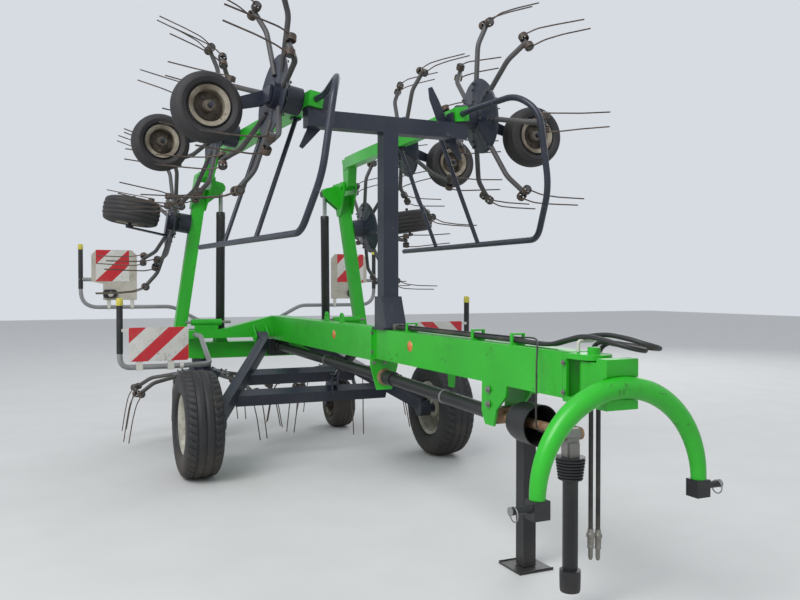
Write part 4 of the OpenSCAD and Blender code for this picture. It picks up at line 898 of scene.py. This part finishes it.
# A barrel with its foot, a bright rod and the rod's eye, along a line between two pins
def addCylinder(name, cylinder, flip, barrelNode, rodNode):
    base, eye = cylinder["base"], cylinder["eye"]
    length = np.linalg.norm(eye - base)
    inLine = flip @ basis(base, eye - base, cylinder["across"])
    eyeTurn = turn(alongY, 90)
    r, rodR, bodyEnd = cylinder["r"], cylinder["rod"], length - cylinder["open"]
    body = turned([[0, 0.028], [r - 0.004, 0.028], [r - 0.001, 0.034], [r - 0.001, bodyEnd - 0.060],
                   [r - 0.0002, bodyEnd - 0.058], [r - 0.0002, bodyEnd - 0.006], [r - 0.004, bodyEnd],
                   [rodR + 0.004, bodyEnd], [rodR + 0.0006, bodyEnd - 0.004],
                   [rodR + 0.0006, bodyEnd - 0.03], [0, bodyEnd - 0.03]], 40)
    footHalf, eyeHalf, bore = cylinder["foot"], cylinder["eyeHalf"], cylinder["pin"] + 0.0003
    foot = turned(barProfile(bore, cylinder["footR"], -footHalf, footHalf, 0.002), 36, True)
    shaft = turned(barProfile(0, rodR - 0.0002, cylinder["hidden"], length - 0.02), 32)
    head = turned(barProfile(0, cylinder["eyeR"], -eyeHalf, eyeHalf, 0.002), 36)
    addPiece(name + "_barrel_shape", [body, moved(foot, eyeTurn)], "blackPaint", barrelNode, [barrelNode],
             inLine, angle=35)
    addPiece(name + "_rod_shape", [shaft], "chrome", rodNode, [rodNode], inLine, angle=35)
    addPiece(name + "_rod_eye", [head], "blackPaint", rodNode,
             place=inLine @ shift(0, 0, length) @ eyeTurn, angle=35)


liftEye = (rowX, row["hingeY"] + 1.480, rowZ + 0.175, 1.0)
liftCylinder = {"base": np.array([rowX, 0.500, 0.905]), "eye": (liftMatrix @ liftEye)[:3],
                "across": (0, -1, 0), "r": 0.040, "rod": 0.020, "open": 0.210, "pin": 0.015, "foot": 0.042,
                "footR": 0.040, "eyeHalf": 0.030, "eyeR": 0.036, "hidden": 0.085}
# The chassis' arms fall from their cross axis to the axle, and the rod's pin stands above them
chassisArm = {"pivotZ": 0.905, "axleZ": 0.410, "length": 1.150, "pinAlong": 0.816, "pinAbove": 0.072}
armFall = chassisArm["pinAlong"] * (chassisArm["axleZ"] - chassisArm["pivotZ"]) / chassisArm["length"]
rodPinZ = chassisArm["pivotZ"] + armFall + chassisArm["pinAbove"]
chassisCylinder = {"base": np.array([0.330, 0.170, 0.950]), "eye": np.array([-0.319, 0.170, rodPinZ]),
                   "across": alongX, "r": 0.036, "rod": 0.016, "open": 0.190, "pin": 0.015, "foot": 0.037,
                   "footR": 0.034, "eyeHalf": 0.0167, "eyeR": 0.030, "hidden": 0.175}
for name, flip in sides:
    addCylinder(name + "_lift", liftCylinder, flip, name + "_lift_barrel", name + "_lift_rod")
addCylinder("chassis", chassisCylinder, np.eye(4), "chassis_barrel", "chassis_rod")
print("stage: cylinders ready", flush=True)


# The drive line: guard tubes with collars at the middle bearing, a bell guard, and the shaft hanging from
# its joint; the line's points are x and z
drive = {"start": (-1.2241, 0.815), "middle": (1.110, 0.781), "front": (2.480, 0.742), "gap": 0.060,
         "tube": 0.0358, "collar": 0.0448, "collarFrom": 0.040, "collarTo": 0.150, "shaft": 0.0218,
         "middleShaft": (-0.070, 0.070), "frontShaft": (-0.080, -0.0003),
         "clampXs": (0.02, 1.93), "clamp": (0.0358, 0.0385, -0.008, 0.008), "bellX": 2.640, "jointX": 3.040,
         "bell": [[0.0223, 0.0], [0.058, 0.004], [0.070, 0.012], [0.080, 0.026], [0.086, 0.042],
                  [0.090, 0.062], [0.0915, 0.120], [0.0925, 0.184], [0.093, 0.190], [0.088, 0.190],
                  [0.086, 0.120], [0.084, 0.062], [0.075, 0.030], [0.058, 0.012], [0.0223, 0.008]],
         "coneRibs": 7, "coneFoot": (0.050, 0.556), "coneStep": (0.0016, 0.0125)}
lineStart, lineMid, lineFront = [np.array([drive[key][0], 0, drive[key][1]]) for key in
                                 ("start", "middle", "front")]


# A round bar between two distances before or behind a point of the line
def alongLine(point, fromX, toX, radius, sides=32):
    return rod(point + [fromX, 0, 0], point + [toX, 0, 0], radius, sides)


lineParts = [
    rod(lineStart, lineMid - [drive["gap"], 0, 0], drive["tube"], 32),
    rod(lineMid + [drive["gap"], 0, 0], lineFront - [drive["gap"], 0, 0], drive["tube"], 32),
    alongLine(lineMid, -drive["collarTo"], -drive["collarFrom"], drive["collar"]),
    alongLine(lineMid, drive["collarFrom"], drive["collarTo"], drive["collar"]),
    alongLine(lineMid, *drive["middleShaft"], drive["shaft"], 24),
    alongLine(lineFront, *drive["frontShaft"], drive["shaft"], 24)]
addPiece("drive_guard", lineParts, "plastic", nodes=["pto_line"], bevel=0.002, angle=40)
tubeXs = [lineStart[0], lineMid[0] - drive["gap"], lineMid[0] + drive["gap"], lineFront[0] - drive["gap"]]
tubeZs = [lineStart[2], lineMid[2], lineMid[2], lineFront[2]]
tubeClamps = [moved(turned(barProfile(*drive["clamp"]), 32, True),
                    basis((x, 0, np.interp(x, tubeXs, tubeZs)), alongX)) for x in drive["clampXs"]]
addPiece("drive_clamps", tubeClamps, "zinc")
addPiece("bell", [turned(drive["bell"], 64, True)], "plastic", nodes=["pto_bell"],
         place=basis((drive["bellX"], 0, lineFront[2]), alongX), angle=40)
coneRibs = [[0.036, 0.552]]
for k in range(drive["coneRibs"]):
    r = drive["coneFoot"][0] + drive["coneStep"][0] * k
    z = drive["coneFoot"][1] + drive["coneStep"][1] * k
    coneRibs += [[r, z], [r + 0.002, z + 0.003], [r + 0.002, z + 0.006], [r - 0.004, z + 0.009]]
coneRibs += [[0.060, 0.645], [0.0615, 0.6497], [0.050, 0.6497], [0.0, 0.6497]]
hangingTube = [[0.0318, 0.545], [0.0318, 0.190], [0.0305, 0.187], [0.0305, 0.184], [0.0435, 0.181],
               [0.0438, 0.150], [0.0425, 0.100], [0.040, 0.092], [0.0178, 0.092], [0.0178, 0.162],
               [0.0, 0.162]]
addPiece("hanging_shaft", [turned(coneRibs[::-1] + hangingTube, 48)], "plastic", "drive_shaft",
         ["pto_shaft"], shift(drive["jointX"], 0, 0), angle=35)
refined("pto_joint", "steel", "drive_shaft", 0.004)
print("stage: drive line ready", flush=True)


# The parking stand: a square leg, its foot plate and the plate's turned-up edges
stand = {"leg": ([2.465, 0.105, 0.010], [2.535, 0.175, 1.092]), "lip": (0.006, 0.0081, 0.0145),
         "foot": ([2.405, 0.045, 0.0], [2.595, 0.235, 0.008])}
(footX0, footY0, _), (footX1, footY1, _) = stand["foot"]
lipThick, lipLow, lipHigh = stand["lip"]
standParts = [block(*stand["leg"]), block(*stand["foot"])]
for x in (footX0, footX1 - lipThick):
    standParts.append(block([x, footY0, lipLow], [x + lipThick, footY1, lipHigh]))
addPiece("stand_shape", standParts, "blackPaint", "stand", ["stand_leg"], bevel=0.003)

# Bolts of the beams' flange, on its two sides and along its foot
flange = {"x": 1.1098, "sideY": 0.0845, "sideZs": (0.942, 1.061), "footZ": 0.872,
          "footYs": (-0.074, 0.0, 0.074)}
flangeBolts = [(flange["x"], s * flange["sideY"], z) for z in flange["sideZs"] for s in bothSigns]
flangeBolts += [(flange["x"], y, flange["footZ"]) for y in flange["footYs"]]
addPiece("flange_bolts", boltsAt(flangeBolts, alongX, 0.0085), "steel")

# Bolts on both sides of the stand's and the swivel's brackets: x, y, heights and size
bracketTable = [(2.510, 0.0762, (0.800, 0.868), 0.012), (3.094, 0.0772, (0.925, 1.045), 0.008)]
bracketBolts = []
for x, y, heights, size in bracketTable:
    for s in bothSigns:
        bracketBolts += boltsAt([(x, s * y, z) for z in heights], (0, s, 0), size)
addPiece("bracket_bolts", bracketBolts, "steel")

reflector = {"xs": (0.364, 1.634), "y": 0.0702, "z": 1.011,
             "dome": [[0.0, 0.0065], [0.024, 0.006], [0.029, 0.003], [0.031, -0.0003], [0.0, -0.0003]]}
reflectorPlaces = [basis((x, s * reflector["y"], reflector["z"]), (0, s, 0))
                   for x in reflector["xs"] for s in bothSigns]
reflectors = [moved(turned(reflector["dome"], 32), place) for place in reflectorPlaces]
addPiece("reflectors", reflectors, "orange", angle=40)

# The hook that the hoses lie over
hook = {"wire": 0.0072, "bend": 0.012,
        "route": [[3.135, -0.034, 1.090], [3.135, -0.034, 1.1327], [3.135, 0.044, 1.1327],
                  [3.135, 0.044, 1.1645]]}
addPiece("hook_shape", [tubeAlong(rounded(hook["route"], hook["bend"], 5), hook["wire"], 14)], "white")

# Bright rods of the lock cylinders, from and to in y
lock = {"x": -1.29485, "z": 1.042, "rod": 0.0118, "spans": ((0.4395, 0.519), (0.781, 0.8305))}
lockRods = [rod(*[[lock["x"], s * y, lock["z"]] for y in span], lock["rod"])
            for s in bothSigns for span in lock["spans"]]
addPiece("lock_rods", lockRods, "steel")

# Ends of the lower links' pins: a spring ring and a domed end
linkPin = {"ringR": 0.026, "wire": 0.0025, "ringSteps": 28, "ringY": 0.4785, "ringZ": 0.548,
           "domeY": 0.4898, "domeZ": 0.560,
           "dome": [[0.0, 0.0], [0.014, 0.0], [0.0165, 0.003], [0.0165, 0.006], [0.0, 0.0075]]}
ringAngles = np.linspace(0, 2 * np.pi, linkPin["ringSteps"], endpoint=False)
ringXs = arch["x"] + linkPin["ringR"] * np.cos(ringAngles)
ringZs = linkPin["ringZ"] + linkPin["ringR"] * np.sin(ringAngles)
pinParts = []
for s in bothSigns:
    ring = np.c_[ringXs, np.full(linkPin["ringSteps"], s * linkPin["ringY"]), ringZs]
    domeAt = (arch["x"], s * linkPin["domeY"], linkPin["domeZ"])
    pinParts += [tubeAlong(ring, linkPin["wire"], 8, True),
                 moved(turned(linkPin["dome"], 24), basis(domeAt, (0, s, 0)))]
addPiece("pin_rings", pinParts, "zinc", "hitch")
print("stage: details ready", flush=True)
